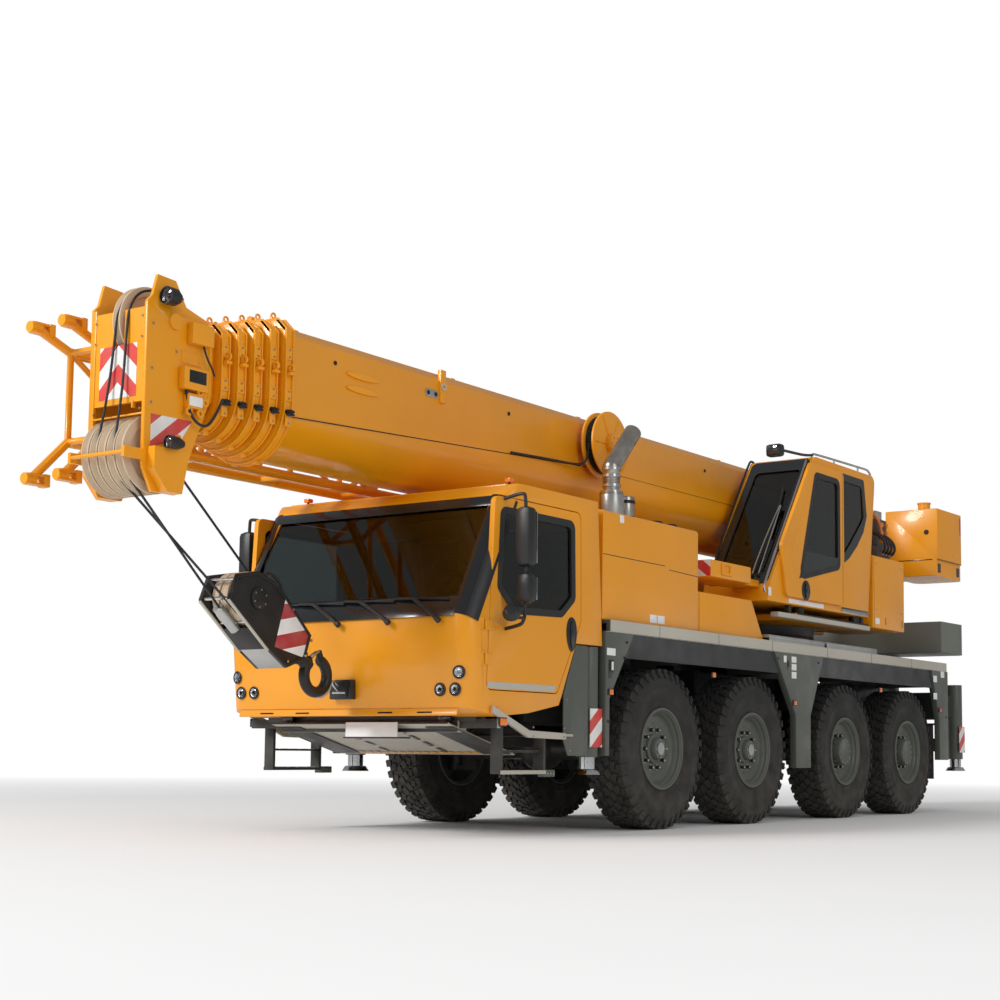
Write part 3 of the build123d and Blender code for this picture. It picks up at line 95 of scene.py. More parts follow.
class Look(Tree):
    """A material under construction; its textures follow Object coordinates."""

    def __init__(self, name):
        super().__init__(bpy.data.materials.new(name))
        self.coords = self.node("TexCoord", "Object")

    def axis(self, letter):
        return self.node("SeparateXYZ", letter, {"Vector": self.coords})

    def noise(self, scale, detail=3.0):
        return self.node("TexNoise", "Fac", {"Vector": self.coords, "Scale": scale, "Detail": detail})

    def surface(self, inputs, height, strength):
        """Fills the surface shader, raises its normal by a height map, and gives back the material."""
        bump = self.node("Bump", "Normal", {"Strength": strength, "Distance": 0.002, "Height": height})
        self.feed(self.nodes["Principled BSDF"], {**inputs, "Normal": bump})
        return self.owner


def toned(colour, factor):
    return [min(1.0, c * factor) for c in colour]


def finish(name, colour, rough, metal=0.0, coat=0.0, clouds=0.08, cloud_size=0.9, grain=0.1,
           grain_size=350.0, dust=0.0, dust_colour=(0.2, 0.17, 0.13), dust_top=1.2):
    """Paint, metal, rubber or plastic: cloudy shade, a fine grain, and dust that thins out upwards."""
    look = Look(name)
    cloudy = look.ranged(look.noise(cloud_size), 0, 1)
    shade = look.mixed(cloudy, toned(colour, 1 - clouds), toned(colour, 1 + clouds))
    if dust:
        settled = look.ranged(look.axis("Z"), dust, 0.0, 0.0, dust_top)
        patches = look.ranged(look.noise(7.0, 6.0), 0.2, 1.0, 0.35, 0.65)
        shade = look.mixed(look.maths("MULTIPLY", settled, patches), shade, dust_colour)
    worn = look.ranged(look.noise(5.0, 5.0), rough * 0.8, min(1.0, rough * 1.25))
    return look.surface({"Base Color": shade, "Metallic": metal, "Coat Weight": coat, "Coat Roughness": 0.08,
                         "Roughness": worn}, look.noise(grain_size, 2.0), grain)


def glazing(name, tint, rough=0.02):
    """Tinted safety glass with the faintest waviness."""
    look = Look(name)
    shade = look.mixed(look.noise(1.5), toned(tint, 0.92), tint)
    return look.surface({"Base Color": shade, "Transmission Weight": 1.0, "Roughness": rough, "IOR": 1.45},
                        look.noise(2.0, 1.0), 0.03)


def striped(name, across, up, pitch, folded=False, second=(0.66, 0.035, 0.03), start=0.0):
    """Reflective warning stripes along across + up, or chevrons where the across axis is folded."""
    look = Look(name)
    sideways = look.axis(across)
    if folded:
        sideways = look.maths("ABSOLUTE", sideways)
    slope = look.maths("MULTIPLY_ADD", sideways, up, look.axis("Z"))
    band = look.maths("FLOORED_MODULO", look.maths("ADD", slope, start), pitch)
    clean = look.mixed(look.maths("GREATER_THAN", band, pitch / 2), (0.83, 0.82, 0.8), second)
    grime = look.ranged(look.noise(9.0, 5.0), 0.0, 0.25)
    cells = look.node("TexVoronoi", "Distance", {"Scale": 320.0, "Vector": look.coords})
    return look.surface({"Base Color": look.mixed(grime, clean, (0.35, 0.3, 0.25)), "Roughness": 0.38},
                        cells, 0.08)


def woven(name, colour):
    """Seat cloth: a fine basket weave in the bump, with a mottled shade."""
    look = Look(name)
    waves = [look.node("TexWave", "Fac", {"Scale": 90.0, "Vector": look.coords}, bands_direction=letter)
             for letter in "XZ"]
    weave = look.maths("MULTIPLY", *waves)
    threads = look.mixed(weave, toned(colour, 0.6), colour)
    patches = look.ranged(look.noise(14.0), 0.0, 0.35)
    shade = look.mixed(patches, threads, toned(colour, 0.5))
    return look.surface({"Base Color": shade, "Roughness": 0.9, "Sheen Weight": 0.3}, weave, 0.4)


YELLOW = finish("yellow_paint", (0.82, 0.318, 0.003), 0.34, coat=0.25, clouds=0.05, dust=0.1, dust_top=1.6)
GREY = finish("carrier_grey_paint", (0.088, 0.098, 0.082), 0.48, coat=0.15, clouds=0.1, dust=0.3)
BLACK_PAINT = finish("chassis_black_paint", (0.018, 0.02, 0.02), 0.5, coat=0.1, dust=0.35)
BEIGE = finish("rail_beige_paint", (0.47, 0.44, 0.37), 0.5, clouds=0.07, dust=0.2)
WEIGHT = finish("weight_grey_paint", (0.15, 0.16, 0.135), 0.55, clouds=0.1, grain=0.25, grain_size=120.0)
RUBBER = finish("tyre_rubber", (0.02, 0.019, 0.018), 0.72, clouds=0.2, cloud_size=6.0, grain=0.35,
                grain_size=240.0, dust=0.55, dust_colour=(0.11, 0.095, 0.075))
PLASTIC = finish("black_plastic", (0.016, 0.017, 0.018), 0.38, clouds=0.15, grain=0.25, grain_size=500.0)
TRIM = finish("black_trim", (0.01, 0.012, 0.014), 0.16, coat=0.4, grain=0.03)
STEEL = finish("bright_steel", (0.62, 0.63, 0.64), 0.24, metal=1.0, cloud_size=4.0, grain=0.05)
DARK_STEEL = finish("black_steel", (0.022, 0.021, 0.02), 0.42, metal=0.3, clouds=0.25, cloud_size=5.0,
                    grain=0.3, grain_size=90.0)
CHROME_ROD = finish("chromed_rod", (0.72, 0.73, 0.75), 0.1, metal=1.0, clouds=0.03, grain=0.02)
IRON = finish("engine_iron", (0.1, 0.1, 0.1), 0.6, metal=0.5, clouds=0.2, grain=0.4, grain_size=60.0)
NYLON = finish("sheave_nylon", (0.6, 0.47, 0.33), 0.5, clouds=0.1, cloud_size=3.0, grain=0.12,
               grain_size=200.0)
ROPE = finish("wire_rope", (0.045, 0.045, 0.048), 0.42, metal=0.7, clouds=0.3, cloud_size=60.0, grain=0.8,
              grain_size=420.0)
ORANGE_HOSE = finish("orange_hose", (0.62, 0.2, 0.04), 0.5, clouds=0.2, cloud_size=12.0, grain=0.2)
ORANGE_LENS = finish("orange_lens", (0.9, 0.2, 0.01), 0.12, coat=0.8, clouds=0.2, cloud_size=60.0, grain=0.3)
RED_LENS = finish("red_lens", (0.62, 0.01, 0.01), 0.12, coat=0.8, clouds=0.2, cloud_size=60.0, grain=0.3)
WHITE = finish("white_plate", (0.78, 0.78, 0.76), 0.42, clouds=0.05, cloud_size=8.0)
ALUMINIUM = finish("tread_plate", (0.5, 0.51, 0.5), 0.38, metal=0.8, clouds=0.12, cloud_size=5.0, grain=0.3,
                   grain_size=150.0)
EXHAUST = finish("exhaust_pipe", (0.5, 0.47, 0.43), 0.3, metal=1.0, clouds=0.25, cloud_size=9.0)
GLASS = glazing("cab_glass", (0.2, 0.24, 0.24))
LENS = glazing("lamp_glass", (0.92, 0.94, 0.96), 0.04)
CLOTH = woven("seat_cloth", (0.075, 0.08, 0.09))
CHEVRON = striped("chevron_sheet", "Y", 0.9, 0.25, folded=True, start=0.05)
STRIPE_SIDE = striped("stripe_sheet_side", "X", 0.8, 0.22, start=0.03)
STRIPE_FRONT = striped("stripe_sheet_front", "Y", 0.8, 0.22)
STRIPE_BLOCK = striped("hook_block_stripes", "X", 0.2, 0.22, second=(0.42, 0.02, 0.03), start=0.03)


# ---------------------------------------------------------------- shape making
PLANES = {"XZ": (0, 2, 1), "YZ": (1, 2, 0), "XY": (0, 1, 2)}


def turned(start, end):
    """The placing of a form that stands on start and points along its own Z at end."""
    start, end = Vector(start), Vector(end)
    return Matrix.Translation(start) @ (end - start).to_track_quat("Z", "Y").to_matrix().to_4x4()


def spun(angle, letter):
    return Matrix.Rotation(math.radians(angle), 4, letter)


def placed(name, data, place=None):
    """A new object in the scene."""
    made = bpy.data.objects.new(name, data)
    bpy.context.scene.collection.objects.link(made)
    if place is not None:
        made.matrix_world = place
    return made


def rounded(bm, edge, segments=2, sharp=0.5, shortest=0.0, clamp=True):
    """Bevels the edges that turn by more than the sharp angle, in radians, and are long enough."""
    edges = [e for e in bm.edges if len(e.link_faces) == 2 and e.calc_face_angle(0) > sharp
             and e.calc_length() > shortest]
    bmesh.ops.bevel(bm, geom=edges, offset=edge, segments=segments, profile=0.5, affect="EDGES", material=-1,
                    clamp_overlap=clamp)


def moved(form, grown, vector):
    """Shifts the points that an extrusion has made."""
    points = [g for g in grown["geom"] if isinstance(g, bmesh.types.BMVert)]
    bmesh.ops.translate(form, vec=vector, verts=points)


class Maker:
    """A sub-part under construction; each form that is added takes one of its finishes."""

    def __init__(self, *finishes):
        self.bm = bmesh.new()
        self.finishes = list(finishes)

    def number(self, finish):
        if finish not in self.finishes:
            self.finishes.append(finish)
        return self.finishes.index(finish)

    def add(self, form, finish, place=None, choose=None):
        """Moves a form in; choose may pick each face's finish by the face's middle and normal."""
        if place is not None:
            bmesh.ops.transform(form, matrix=place, verts=form.verts)
        for face in form.faces:
            used = choose(face.calc_center_median(), face.normal) if choose else finish
            face.material_index = self.number(used)
        mesh = bpy.data.meshes.new("form")
        form.to_mesh(mesh)
        form.free()
        self.bm.from_mesh(mesh)
        bpy.data.meshes.remove(mesh)

    def brick(self, low, high, finish, edge=0.005, place=None):
        """A box between two corners with rounded edges."""
        form = bmesh.new()
        size = [abs(b - a) for a, b in zip(low, high)]
        middle = [(a + b) / 2 for a, b in zip(low, high)]
        stretch = Matrix.Translation(middle) @ Matrix.Diagonal((*size, 1.0))
        bmesh.ops.create_cube(form, size=1.0, matrix=stretch)
        if edge:
            rounded(form, min(edge, min(size) * 0.45))
        self.add(form, finish, place)

    def blocks(self, rows, sides=(1,), place=None):
        """Boxes. Columns: x from, x to, y from, y to, z from, z to, finish, edge rounding."""
        for side in sides:
            for x0, x1, y0, y1, z0, z1, used, edge in rows:
                self.brick((x0, side * y0, z0), (x1, side * y1, z1), used, edge, place)

    def bar(self, start, end, radius, finish, end_radius=None, steps=24, edge=0.0):
        """A round bar or cone between two points."""
        form = bmesh.new()
        length = (Vector(end) - Vector(start)).length
        bmesh.ops.create_cone(form, cap_ends=True, segments=steps, radius1=radius, depth=length,
                              radius2=radius if end_radius is None else end_radius,
                              matrix=Matrix.Translation((0, 0, length / 2)))
        if edge:
            rounded(form, edge, sharp=1.0)
        self.add(form, finish, turned(start, end))

    def flat(self, outlines, plane, near, far, finish, edge, place=None, segments=1):
        """A plate with one outline, or a flat ring between two, from near to far on the third axis."""
        form = bmesh.new()
        order = PLANES[plane]
        loops = []
        for outline in outlines:
            loop = []
            for first, second in outline:
                point = [near, near, near]
                point[order[0]], point[order[1]] = first, second
                loop.append(form.verts.new(point))
            loops.append(loop)
        if len(loops) == 1:
            form.faces.new(loops[0])
        else:
            edges = [form.edges.new(pair) for loop in loops for pair in zip(loop, loop[1:] + loop[:1])]
            bmesh.ops.bridge_loops(form, edges=edges)
        shift = [0.0, 0.0, 0.0]
        shift[order[2]] = far - near
        moved(form, bmesh.ops.extrude_face_region(form, geom=form.faces[:]), shift)
        bmesh.ops.recalc_face_normals(form, faces=form.faces)
        if edge:
            rounded(form, min(edge, abs(far - near) * 0.45), segments)
        self.add(form, finish, place)

    def plate(self, outline, plane, near, far, finish, edge=0.004, place=None):
        self.flat([outline], plane, near, far, finish, edge, place, 2)

    def frame(self, outer, inner, plane, near, far, finish, edge=0.003, place=None):
        self.flat([outer, inner], plane, near, far, finish, edge, place)

    def labels(self, rows, face, side, finish=None, thick=0.003, edge=0.001):
        """Thin plates on a side wall. Columns: x from, x to, z from, z to."""
        for row in rows:
            self.plate(rectangle(*row), "XZ", side * face, side * (face + thick), finish or WHITE, edge)

    def lathe(self, profile, centre, axis, finish, steps=48):
        """A profile of (radius, height) spun about an axis; a closed profile makes a ring."""
        form = bmesh.new()
        points = [form.verts.new((radius, 0, height)) for radius, height in profile]
        edges = [form.edges.new(pair) for pair in zip(points, points[1:])]
        bmesh.ops.spin(form, geom=points + edges, angle=math.tau, steps=steps, axis=(0, 0, 1),
                       cent=(0, 0, 0), use_merge=True)
        bmesh.ops.remove_doubles(form, verts=form.verts, dist=1e-5)
        bmesh.ops.recalc_face_normals(form, faces=form.faces)
        self.add(form, finish, turned(centre, Vector(centre) + Vector(axis)))

    def ring(self, inner, outer, low, high, centre, axis, finish, steps=20):
        """A ring of rectangular section, from low to high along the axis."""
        self.lathe([(inner, low), (outer, low), (outer, high), (inner, high), (inner, low)], centre, axis,
                   finish, steps)

    def tube(self, points, radius, finish, smooth=True):
        """A round tube along a route, with soft bends or sharp ones."""
        curve = bpy.data.curves.new("route", "CURVE")
        curve.dimensions = "3D"
        curve.bevel_depth = radius
        curve.bevel_resolution = 3
        curve.use_fill_caps = True
        spline = curve.splines.new("NURBS" if smooth else "POLY")
        spline.points.add(len(points) - 1)
        for point, place in zip(spline.points, points):
            point.co = (*place, 1.0)
        if smooth:
            spline.use_endpoint_u = True
            spline.order_u = 3
            spline.resolution_u = 5
        guide = bpy.data.objects.new("route", curve)
        mesh = bpy.data.meshes.new_from_object(guide)
        form = bmesh.new()
        form.from_mesh(mesh)
        bpy.data.objects.remove(guide)
        bpy.data.curves.remove(curve)
        bpy.data.meshes.remove(mesh)
        self.add(form, finish)

    def bolts(self, places, axis, finish, radius=0.011, height=0.009):
        """Hexagon bolt heads standing on the given places."""
        for place in places:
            self.bar(place, Vector(place) + Vector(axis) * height, radius, finish, radius * 0.92, steps=6)

    def cad(self, node, finish, edge=0.004, keep=None, choose=None, cut=None):
        """A merged copy of a CAD node with its sharp edges rounded.

        keep picks the solids to take by their corners, cut takes off what lies beyond a plane,
        and choose picks each face's finish.
        """
        form = bmesh.new()
        form.from_mesh(frame["nodes"][node].data)
        bmesh.ops.remove_doubles(form, verts=form.verts, dist=2e-5)
        if keep:
            for island in islands(form):
                low = Vector([min(v.co[i] for v in island) for i in range(3)])
                high = Vector([max(v.co[i] for v in island) for i in range(3)])
                if not keep(low, high):
                    bmesh.ops.delete(form, geom=island, context="VERTS")
        if cut:
            bmesh.ops.bisect_plane(form, geom=form.verts[:] + form.edges[:] + form.faces[:], plane_co=cut[0],
                                   plane_no=cut[1], clear_outer=True)
            bmesh.ops.holes_fill(form, edges=[e for e in form.edges if e.is_boundary], sides=0)
        bmesh.ops.dissolve_limit(form, angle_limit=0.012, verts=form.verts, edges=form.edges)
        if edge:
            rounded(form, edge, sharp=0.6, shortest=edge * 2.5, clamp=False)
        self.add(form, finish, choose=choose)

    def piece(self, name, body, replaces=(), smooth=40.0):
        """Turns the sub-part into a shown object that rides on a body."""
        mesh = bpy.data.meshes.new(name)
        self.bm.to_mesh(mesh)
        self.bm.free()
        for material in self.finishes:
            mesh.materials.append(material)
        mesh.polygons.foreach_set("use_smooth", [True] * len(mesh.polygons))
        mesh.set_sharp_from_angle(angle=math.radians(smooth))
        shown = placed(name, mesh)
        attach(shown, body)
        if replaces:
            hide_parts(*replaces)
        return shown


def islands(form):
    """The separate solids of a merged mesh, as lists of vertices."""
    left = set(form.verts)
    found = []
    while left:
        stack = [left.pop()]
        island = []
        while stack:
            vertex = stack.pop()
            island.append(vertex)
            for edge in vertex.link_edges:
                other = edge.other_vert(vertex)
                if other in left:
                    left.remove(other)
                    stack.append(other)
        found.append(island)
    return found


def skin(node, used, slot, edge=0.0, choose=None, ending="skin"):
    """A shown copy of a CAD node with rounded edges and a real finish."""
    maker = Maker(used)
    maker.cad(node, used, edge, choose=choose)
    maker.piece(f"{node}_{ending}", BODY_OF[node], [node])


def inset(points, distance):
    """The outline moved inwards by a distance, or outwards by a negative one."""
    pairs = list(zip(points, points[1:] + points[:1]))
    turn = 1 if sum(a[0] * b[1] - b[0] * a[1] for a, b in pairs) > 0 else -1
    lines = []
    for first, second in pairs:
        along = (Vector(second) - Vector(first)).normalized()
        lines.append((Vector(first) + Vector((-along.y, along.x)) * turn * distance, along))
    result = []
    for (p, u), (q, v) in zip(lines[-1:] + lines[:-1], lines):
        t = ((q - p).x * v.y - (q - p).y * v.x) / (u.x * v.y - u.y * v.x)
        result.append(tuple(p + u * t))
    return result


def soft_corners(points, radius, steps=5):
    """The outline with an arc at each corner."""
    result = []
    for i, point in enumerate(points):
        corner = Vector(point)
        before = (Vector(points[i - 1]) - corner).normalized()
        after = (Vector(points[(i + 1) % len(points)]) - corner).normalized()
        half = before.angle(after) / 2
        centre = corner + (before + after).normalized() * (radius / math.sin(half))
        start = corner + before * (radius / math.tan(half)) - centre
        end = corner + after * (radius / math.tan(half)) - centre
        first = math.atan2(start.y, start.x)
        sweep = (math.atan2(end.y, end.x) - first + math.pi) % math.tau - math.pi
        for k in range(steps + 1):
            angle = first + sweep * k / steps
            result.append((centre.x + radius * math.cos(angle), centre.y + radius * math.sin(angle)))
    return result


def oval(x, z, wide, high, steps=28, pinch=0.0):
    """An oval outline; pinch narrows its lower end."""
    ring = [math.tau * i / steps for i in range(steps)]
    return [(x + math.cos(a) * wide / 2 * (1 + pinch * math.sin(a)), z + math.sin(a) * high / 2)
            for a in ring]


def rectangle(x0, x1, z0, z1):
    return [(x0, z0), (x1, z0), (x1, z1), (x0, z1)]


def soft_rectangle(x0, x1, z0, z1, radius):
    return soft_corners(rectangle(x0, x1, z0, z1), radius)


def circle(x, y, z, radius, count, shift=0.0):
    """Places round a centre in the plane XZ."""
    turns = [math.tau * (i + shift) / count for i in range(count)]
    return [Vector((x + math.cos(a) * radius, y, z + math.sin(a) * radius)) for a in turns]


# ---------------------------------------------------------------- camera, light and floor
def camera():
    """The camera stands ahead of the machine on its left, near the ground."""
    bpy.context.scene.view_settings.view_transform = "Standard"
    yaw, pitch, roll = -2.5396, 0.0961, 0.0089
    forward = Vector((math.cos(yaw) * math.cos(pitch), math.sin(yaw) * math.cos(pitch), math.sin(pitch)))
    right = forward.cross(Vector(UPWARD)).normalized()
    up = right.cross(forward)
    across = math.cos(roll) * right + math.sin(roll) * up
    upward = -math.sin(roll) * right + math.cos(roll) * up
    data = bpy.data.cameras.new("camera")
    data.lens = 60.48
    data.shift_x = -0.0488
    data.shift_y = 0.0911
    data.clip_end = 400.0
    turn = Matrix((across, upward, -forward)).transposed().to_4x4()
    bpy.context.scene.camera = placed("camera", data, Matrix.Translation((13.4848, 8.6208, 0.6398)) @ turn)


def studio():
    """A white surround, one broad soft key from the front right, a weak fill and a pale floor."""
    world = bpy.data.worlds.new("surround")
    bpy.context.scene.world = world
    tree = Tree(world)
    # the surround is seen at full strength, lights the machine softly and shows up dimmed in its reflections
    level = tree.ranged(tree.node("LightPath", "Is Camera Ray"), 0.62, 1.0, 0.0, 1.0)
    for kind, strength in (("Is Glossy Ray", 0.26), ("Is Transmission Ray", 0.42)):
        switch = {"Factor": tree.node("LightPath", kind), "A": level, "B": strength}
        level = tree.node("Mix", "Result", switch)
    tree.feed(tree.nodes["Background"], {"Color": (1.0, 1.0, 1.0), "Strength": level})

    # columns: name, place, size, power
    for name, place, size, power in (("key", (28.0, -10.0, 18.0), 9.0, 7000.0),
                                     ("fill", (8.0, 24.0, 12.0), 12.0, 900.0)):
        data = bpy.data.lights.new(name, "AREA")
        data.shape = "DISK"
        data.size = size
        data.energy = power
        aim = (Vector((0.0, 0.0, 1.5)) - Vector(place)).to_track_quat("-Z", "Y").to_matrix().to_4x4()
        placed(name, data, Matrix.Translation(place) @ aim)

    look = Look("studio_floor")
    pale = look.mixed(look.noise(0.3), (0.8, 0.8, 0.8), (0.83, 0.83, 0.83))
    shader = look.nodes["Principled BSDF"]
    look.feed(shader, {"Base Color": pale, "Roughness": 0.9})
    distance = look.node("VectorMath", "Value", {0: look.coords}, operation="LENGTH")
    far = look.ranged(distance, 0.0, 1.0, 9.0, 26.0)
    share = look.maths("MULTIPLY", far, look.node("LightPath", "Is Camera Ray"))
    blend = {0: share, 1: shader.outputs["BSDF"], 2: look.node("Emission", "Emission")}
    look.feed(look.nodes["Material Output"], {"Surface": look.node("MixShader", "Shader", blend)})
    ground = bmesh.new()
    bmesh.ops.create_circle(ground, cap_ends=True, segments=64, radius=120.0)
    mesh = bpy.data.meshes.new("floor")
    ground.to_mesh(mesh)
    ground.free()
    mesh.materials.append(look.owner)
    placed("floor", mesh)


# ---------------------------------------------------------------- wheels
TYRE_RADIUS = (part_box("wheel_1_left")[1].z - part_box("wheel_1_left")[0].z) / 2
TYRE_HALF = (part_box("wheel_1_left")[1].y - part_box("wheel_1_left")[0].y) / 2
FLANGE_RADIUS = 0.352
TREAD_PITCHES = 40
LUG_DEPTH = 0.02


def tyre_form():
    """A block-tread tyre round its own axis Y, its outer face towards +Y."""
    maker = Maker(RUBBER)
    base = TYRE_RADIUS - LUG_DEPTH
    # columns: radius beyond the flange, half width
    wall = ((-0.03, 0.15), (0.004, 0.164), (0.018, 0.17), (0.03, 0.166), (0.06, 0.176), (0.066, 0.18),
            (0.074, 0.177), (0.12, 0.186), (0.165, 0.1895), (0.172, 0.1925), (0.182, 0.189))
    # columns: radius beyond the tread's base, half width
    tread = ((-0.085, 0.187), (-0.045, 0.18), (-0.015, 0.166), (0.0, 0.15), (0.001, 0.075), (0.002, 0.0))
    half = [(FLANGE_RADIUS + rise, width) for rise, width in wall]
    half += [(base + rise, width) for rise, width in tread]
    ring = half + [(radius, -width) for radius, width in half[-2::-1]]
    maker.lathe(ring + ring[:1], (0, 0, 0), LEFTWARD, RUBBER, steps=96)
    step = math.tau / TREAD_PITCHES
    tall = LUG_DEPTH + 0.0025
    # columns: middle across the tread, width, length, turn in the tread, shift along by pitches
    blocks = (
        (0.028, 0.062, 0.078, 0.45, 0.0), (-0.028, 0.062, 0.078, 0.45, 0.5),
        (0.089, 0.048, 0.07, -0.25, 0.3), (-0.089, 0.048, 0.07, -0.25, 0.8),
        (0.148, 0.062, 0.066, 0.08, 0.55), (-0.148, 0.062, 0.066, 0.08, 0.05),
    )
    for across, width, length, turn, shift in blocks:
        lean = Matrix.Translation((0, across, base - 0.004)) @ Matrix.Rotation(turn, 4, "Z")
        for i in range(TREAD_PITCHES):
            block = bmesh.new()
            bmesh.ops.create_cube(block, size=1.0, matrix=Matrix.Translation((0, 0, 0.5)))
            bmesh.ops.scale(block, vec=(length, width, tall), verts=block.verts)
            top = [v for v in block.verts if v.co.z > tall / 2]
            bmesh.ops.scale(block, vec=(0.86, 0.86, 1.0), verts=top)
            maker.add(block, RUBBER, Matrix.Rotation((i + shift) * step, 4, "Y") @ lean)
    # shoulder ribs run from the outer blocks down the side wall
    for side, shift in ((1, 0.55), (-1, 0.05)):
        lean = Matrix.Translation((0, side * 0.1765, base - 0.03)) @ Matrix.Rotation(side * 0.42, 4, "X")
        for i in range(TREAD_PITCHES):
            rib = bmesh.new()
            bmesh.ops.create_cube(rib, size=1.0)
            bmesh.ops.scale(rib, vec=(0.06, 0.016, 0.06), verts=rib.verts)
            bmesh.ops.scale(rib, vec=(0.7, 1.0, 1.0), verts=[v for v in rib.verts if v.co.z < 0])
            maker.add(rib, RUBBER, Matrix.Rotation((i + shift) * step, 4, "Y") @ lean)
    return maker


def rim_form(planetary):
    """A dished rim with its lock ring, hand holes as dark discs of painted shade, wheel nuts and hub, its
    outer face towards +Y.
    """
    maker = Maker(GREY)
    half = TYRE_HALF
    dish = half - 0.112
    flange = FLANGE_RADIUS
    profile = [
        (flange - 0.04, -half + 0.05), (flange, -half + 0.03), (flange, -half + 0.014),
        (flange - 0.012, -half + 0.012), (flange - 0.03, -half + 0.03), (0.315, -0.09), (0.3, -0.05),
        (0.3, dish - 0.02), (0.285, dish - 0.018), (0.17, dish - 0.024), (0.088, dish - 0.024),
        (0.088, dish), (0.2, dish), (0.262, dish + 0.004), (0.282, dish + 0.012), (0.293, dish + 0.03),
        (0.297, dish + 0.046), (0.31, dish + 0.056), (0.316, dish + 0.066), (0.316, half - 0.034),
        (0.324, half - 0.028), (0.33, half - 0.014), (0.338, half - 0.01), (0.347, half - 0.012),
        (flange, half - 0.018), (flange, half - 0.028), (flange - 0.04, half - 0.05),
    ]
    maker.lathe(profile + profile[:1], (0, 0, 0), LEFTWARD, GREY, steps=72)
    # each hand hole is a dark disc: painted shade where the opening would be
    for painted_shade_hole in circle(0, dish - 0.002, 0, 0.238, 10, 0.5):
        maker.lathe([(0.0, 0.0), (0.021, 0.0), (0.024, 0.004), (0.027, 0.004), (0.03, 0.0)], painted_shade_hole, LEFTWARD,
                    DARK_STEEL, steps=20)
    for foot in circle(0, dish, 0, 0.168, 10):
        maker.bar(foot, foot + Vector((0, 0.006, 0)), 0.024, STEEL, steps=16)
        maker.bar(foot, foot + Vector((0, 0.026, 0)), 0.018, DARK_STEEL, 0.017, steps=6)
        maker.bar(foot, foot + Vector((0, 0.04, 0)), 0.01, STEEL, steps=10)
    if planetary:
        maker.lathe([(0.0, dish - 0.01), (0.142, dish - 0.01), (0.14, half - 0.045), (0.134, half - 0.028),
                     (0.118, half - 0.022), (0.112, half - 0.026), (0.0, half - 0.026)], (0, 0, 0),
                    LEFTWARD, GREY)
        maker.bolts(circle(0, half - 0.0255, 0, 0.126, 12), LEFTWARD, STEEL, 0.008, 0.006)
    else:
        maker.lathe([(0.0, dish - 0.01), (0.128, dish - 0.01), (0.124, dish + 0.02), (0.098, dish + 0.03),
                     (0.094, half - 0.052), (0.086, half - 0.04), (0.0, half - 0.038)], (0, 0, 0), LEFTWARD,
                    GREY, 40)
        maker.lathe([(0.0, half - 0.04), (0.056, half - 0.04), (0.054, half - 0.03), (0.0, half - 0.03)],
                    (0, 0, 0), LEFTWARD, STEEL, 32)
        maker.bolts(circle(0, half - 0.0395, 0, 0.073, 8), LEFTWARD, STEEL, 0.008, 0.006)
    return maker


def wheels():
    """Each wheel is a tyre and a rim on the same body; the rear two axles carry planetary hubs."""
    tyre = tyre_form()
    rims = {False: rim_form(False), True: rim_form(True)}
    for number in range(1, 5):
        for side_name, side in SIDES:
            body = f"wheel_{number}_{side_name}"
            low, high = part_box(body)
            turn = Matrix.Translation((low + high) / 2) @ spun(0 if side > 0 else 180, "Z")
            for name, source, slot in (("tyre", tyre, "tyre_rubber"),
                                       ("rim", rims[number > 2], "carrier_grey")):
                copy = Maker(*source.finishes)
                copy.bm = source.bm.copy()
                bmesh.ops.transform(copy.bm, matrix=turn, verts=copy.bm.verts)
                copy.piece(f"{name}_{number}_{side_name}", body, [body] if name == "tyre" else ())


# ---------------------------------------------------------------- nodes that keep their CAD form
# columns: node, finish, slot, edge rounding
DRESSED = [
    ("carrier_frame", BLACK_PAINT, "carrier_grey", 0.004),
    ("axles_and_driveline", BLACK_PAINT, "carrier_grey", 0.0),
    ("deck_counterweight", WEIGHT, "weight_grey", 0.012),
    ("rear_beam", BLACK_PAINT, "carrier_grey", 0.005),
    ("driver_cab_shell", YELLOW, "yellow_paint", 0.004),
    ("engine_cover", YELLOW, "yellow_paint", 0.01),
    ("rear_engine_cover", YELLOW, "yellow_paint", 0.01),
    ("side_housings", YELLOW, "yellow_paint", 0.01),
    ("rear_counterweight", YELLOW, "yellow_paint", 0.008),
    ("crane_cab_shell", YELLOW, "yellow_paint", 0.004),
    ("boom_head", YELLOW, "yellow_paint", 0.0),
    ("lattice_jib", YELLOW, "yellow_paint", 0.0),
    ("luff_barrel", YELLOW, "yellow_paint", 0.004),
    ("luff_rod", CHROME_ROD, "bright_steel", 0.003),
]
SECTION_BODIES = ("boom_base", "boom_section_1", "boom_section_2", "boom_section_3", "boom_section_4")
DRESSED += [(node, YELLOW, "yellow_paint", 0.003) for node in SECTION_BODIES]
for side_name, _ in SIDES:
    for number in range(1, 5):
        DRESSED.append((f"knuckle_{number}_{side_name}", BLACK_PAINT, "carrier_grey", 0.0))
    for row in ROWS:
        DRESSED.append((f"outrigger_beam_{row}_{side_name}", GREY, "carrier_grey", 0.004))
        DRESSED.append((f"outrigger_jack_{row}_{side_name}", CHROME_ROD, "bright_steel", 0.004))


def turntable_finish(centre, _):
    """The slewing ring and floor plate are black, the cheeks and their cross beams yellow."""
    return BLACK_PAINT if centre.z < 2.12 and (abs(centre.y) > 0.44 or centre.z < 1.99) else YELLOW


def dressed_nodes():
    """The CAD nodes whose form is right, with rounded edges and a real finish."""
    skin("turntable", YELLOW, "yellow_paint", 0.004, turntable_finish)
    for row in DRESSED:
        skin(*row)
    for slot in frame["nodes"]["engine_block"].material_slots:
        slot.material = IRON
    for node in ("driver_cab_glass", "crane_cab_glass"):
        skin(node, GLASS, "cab_glass", ending="panes")


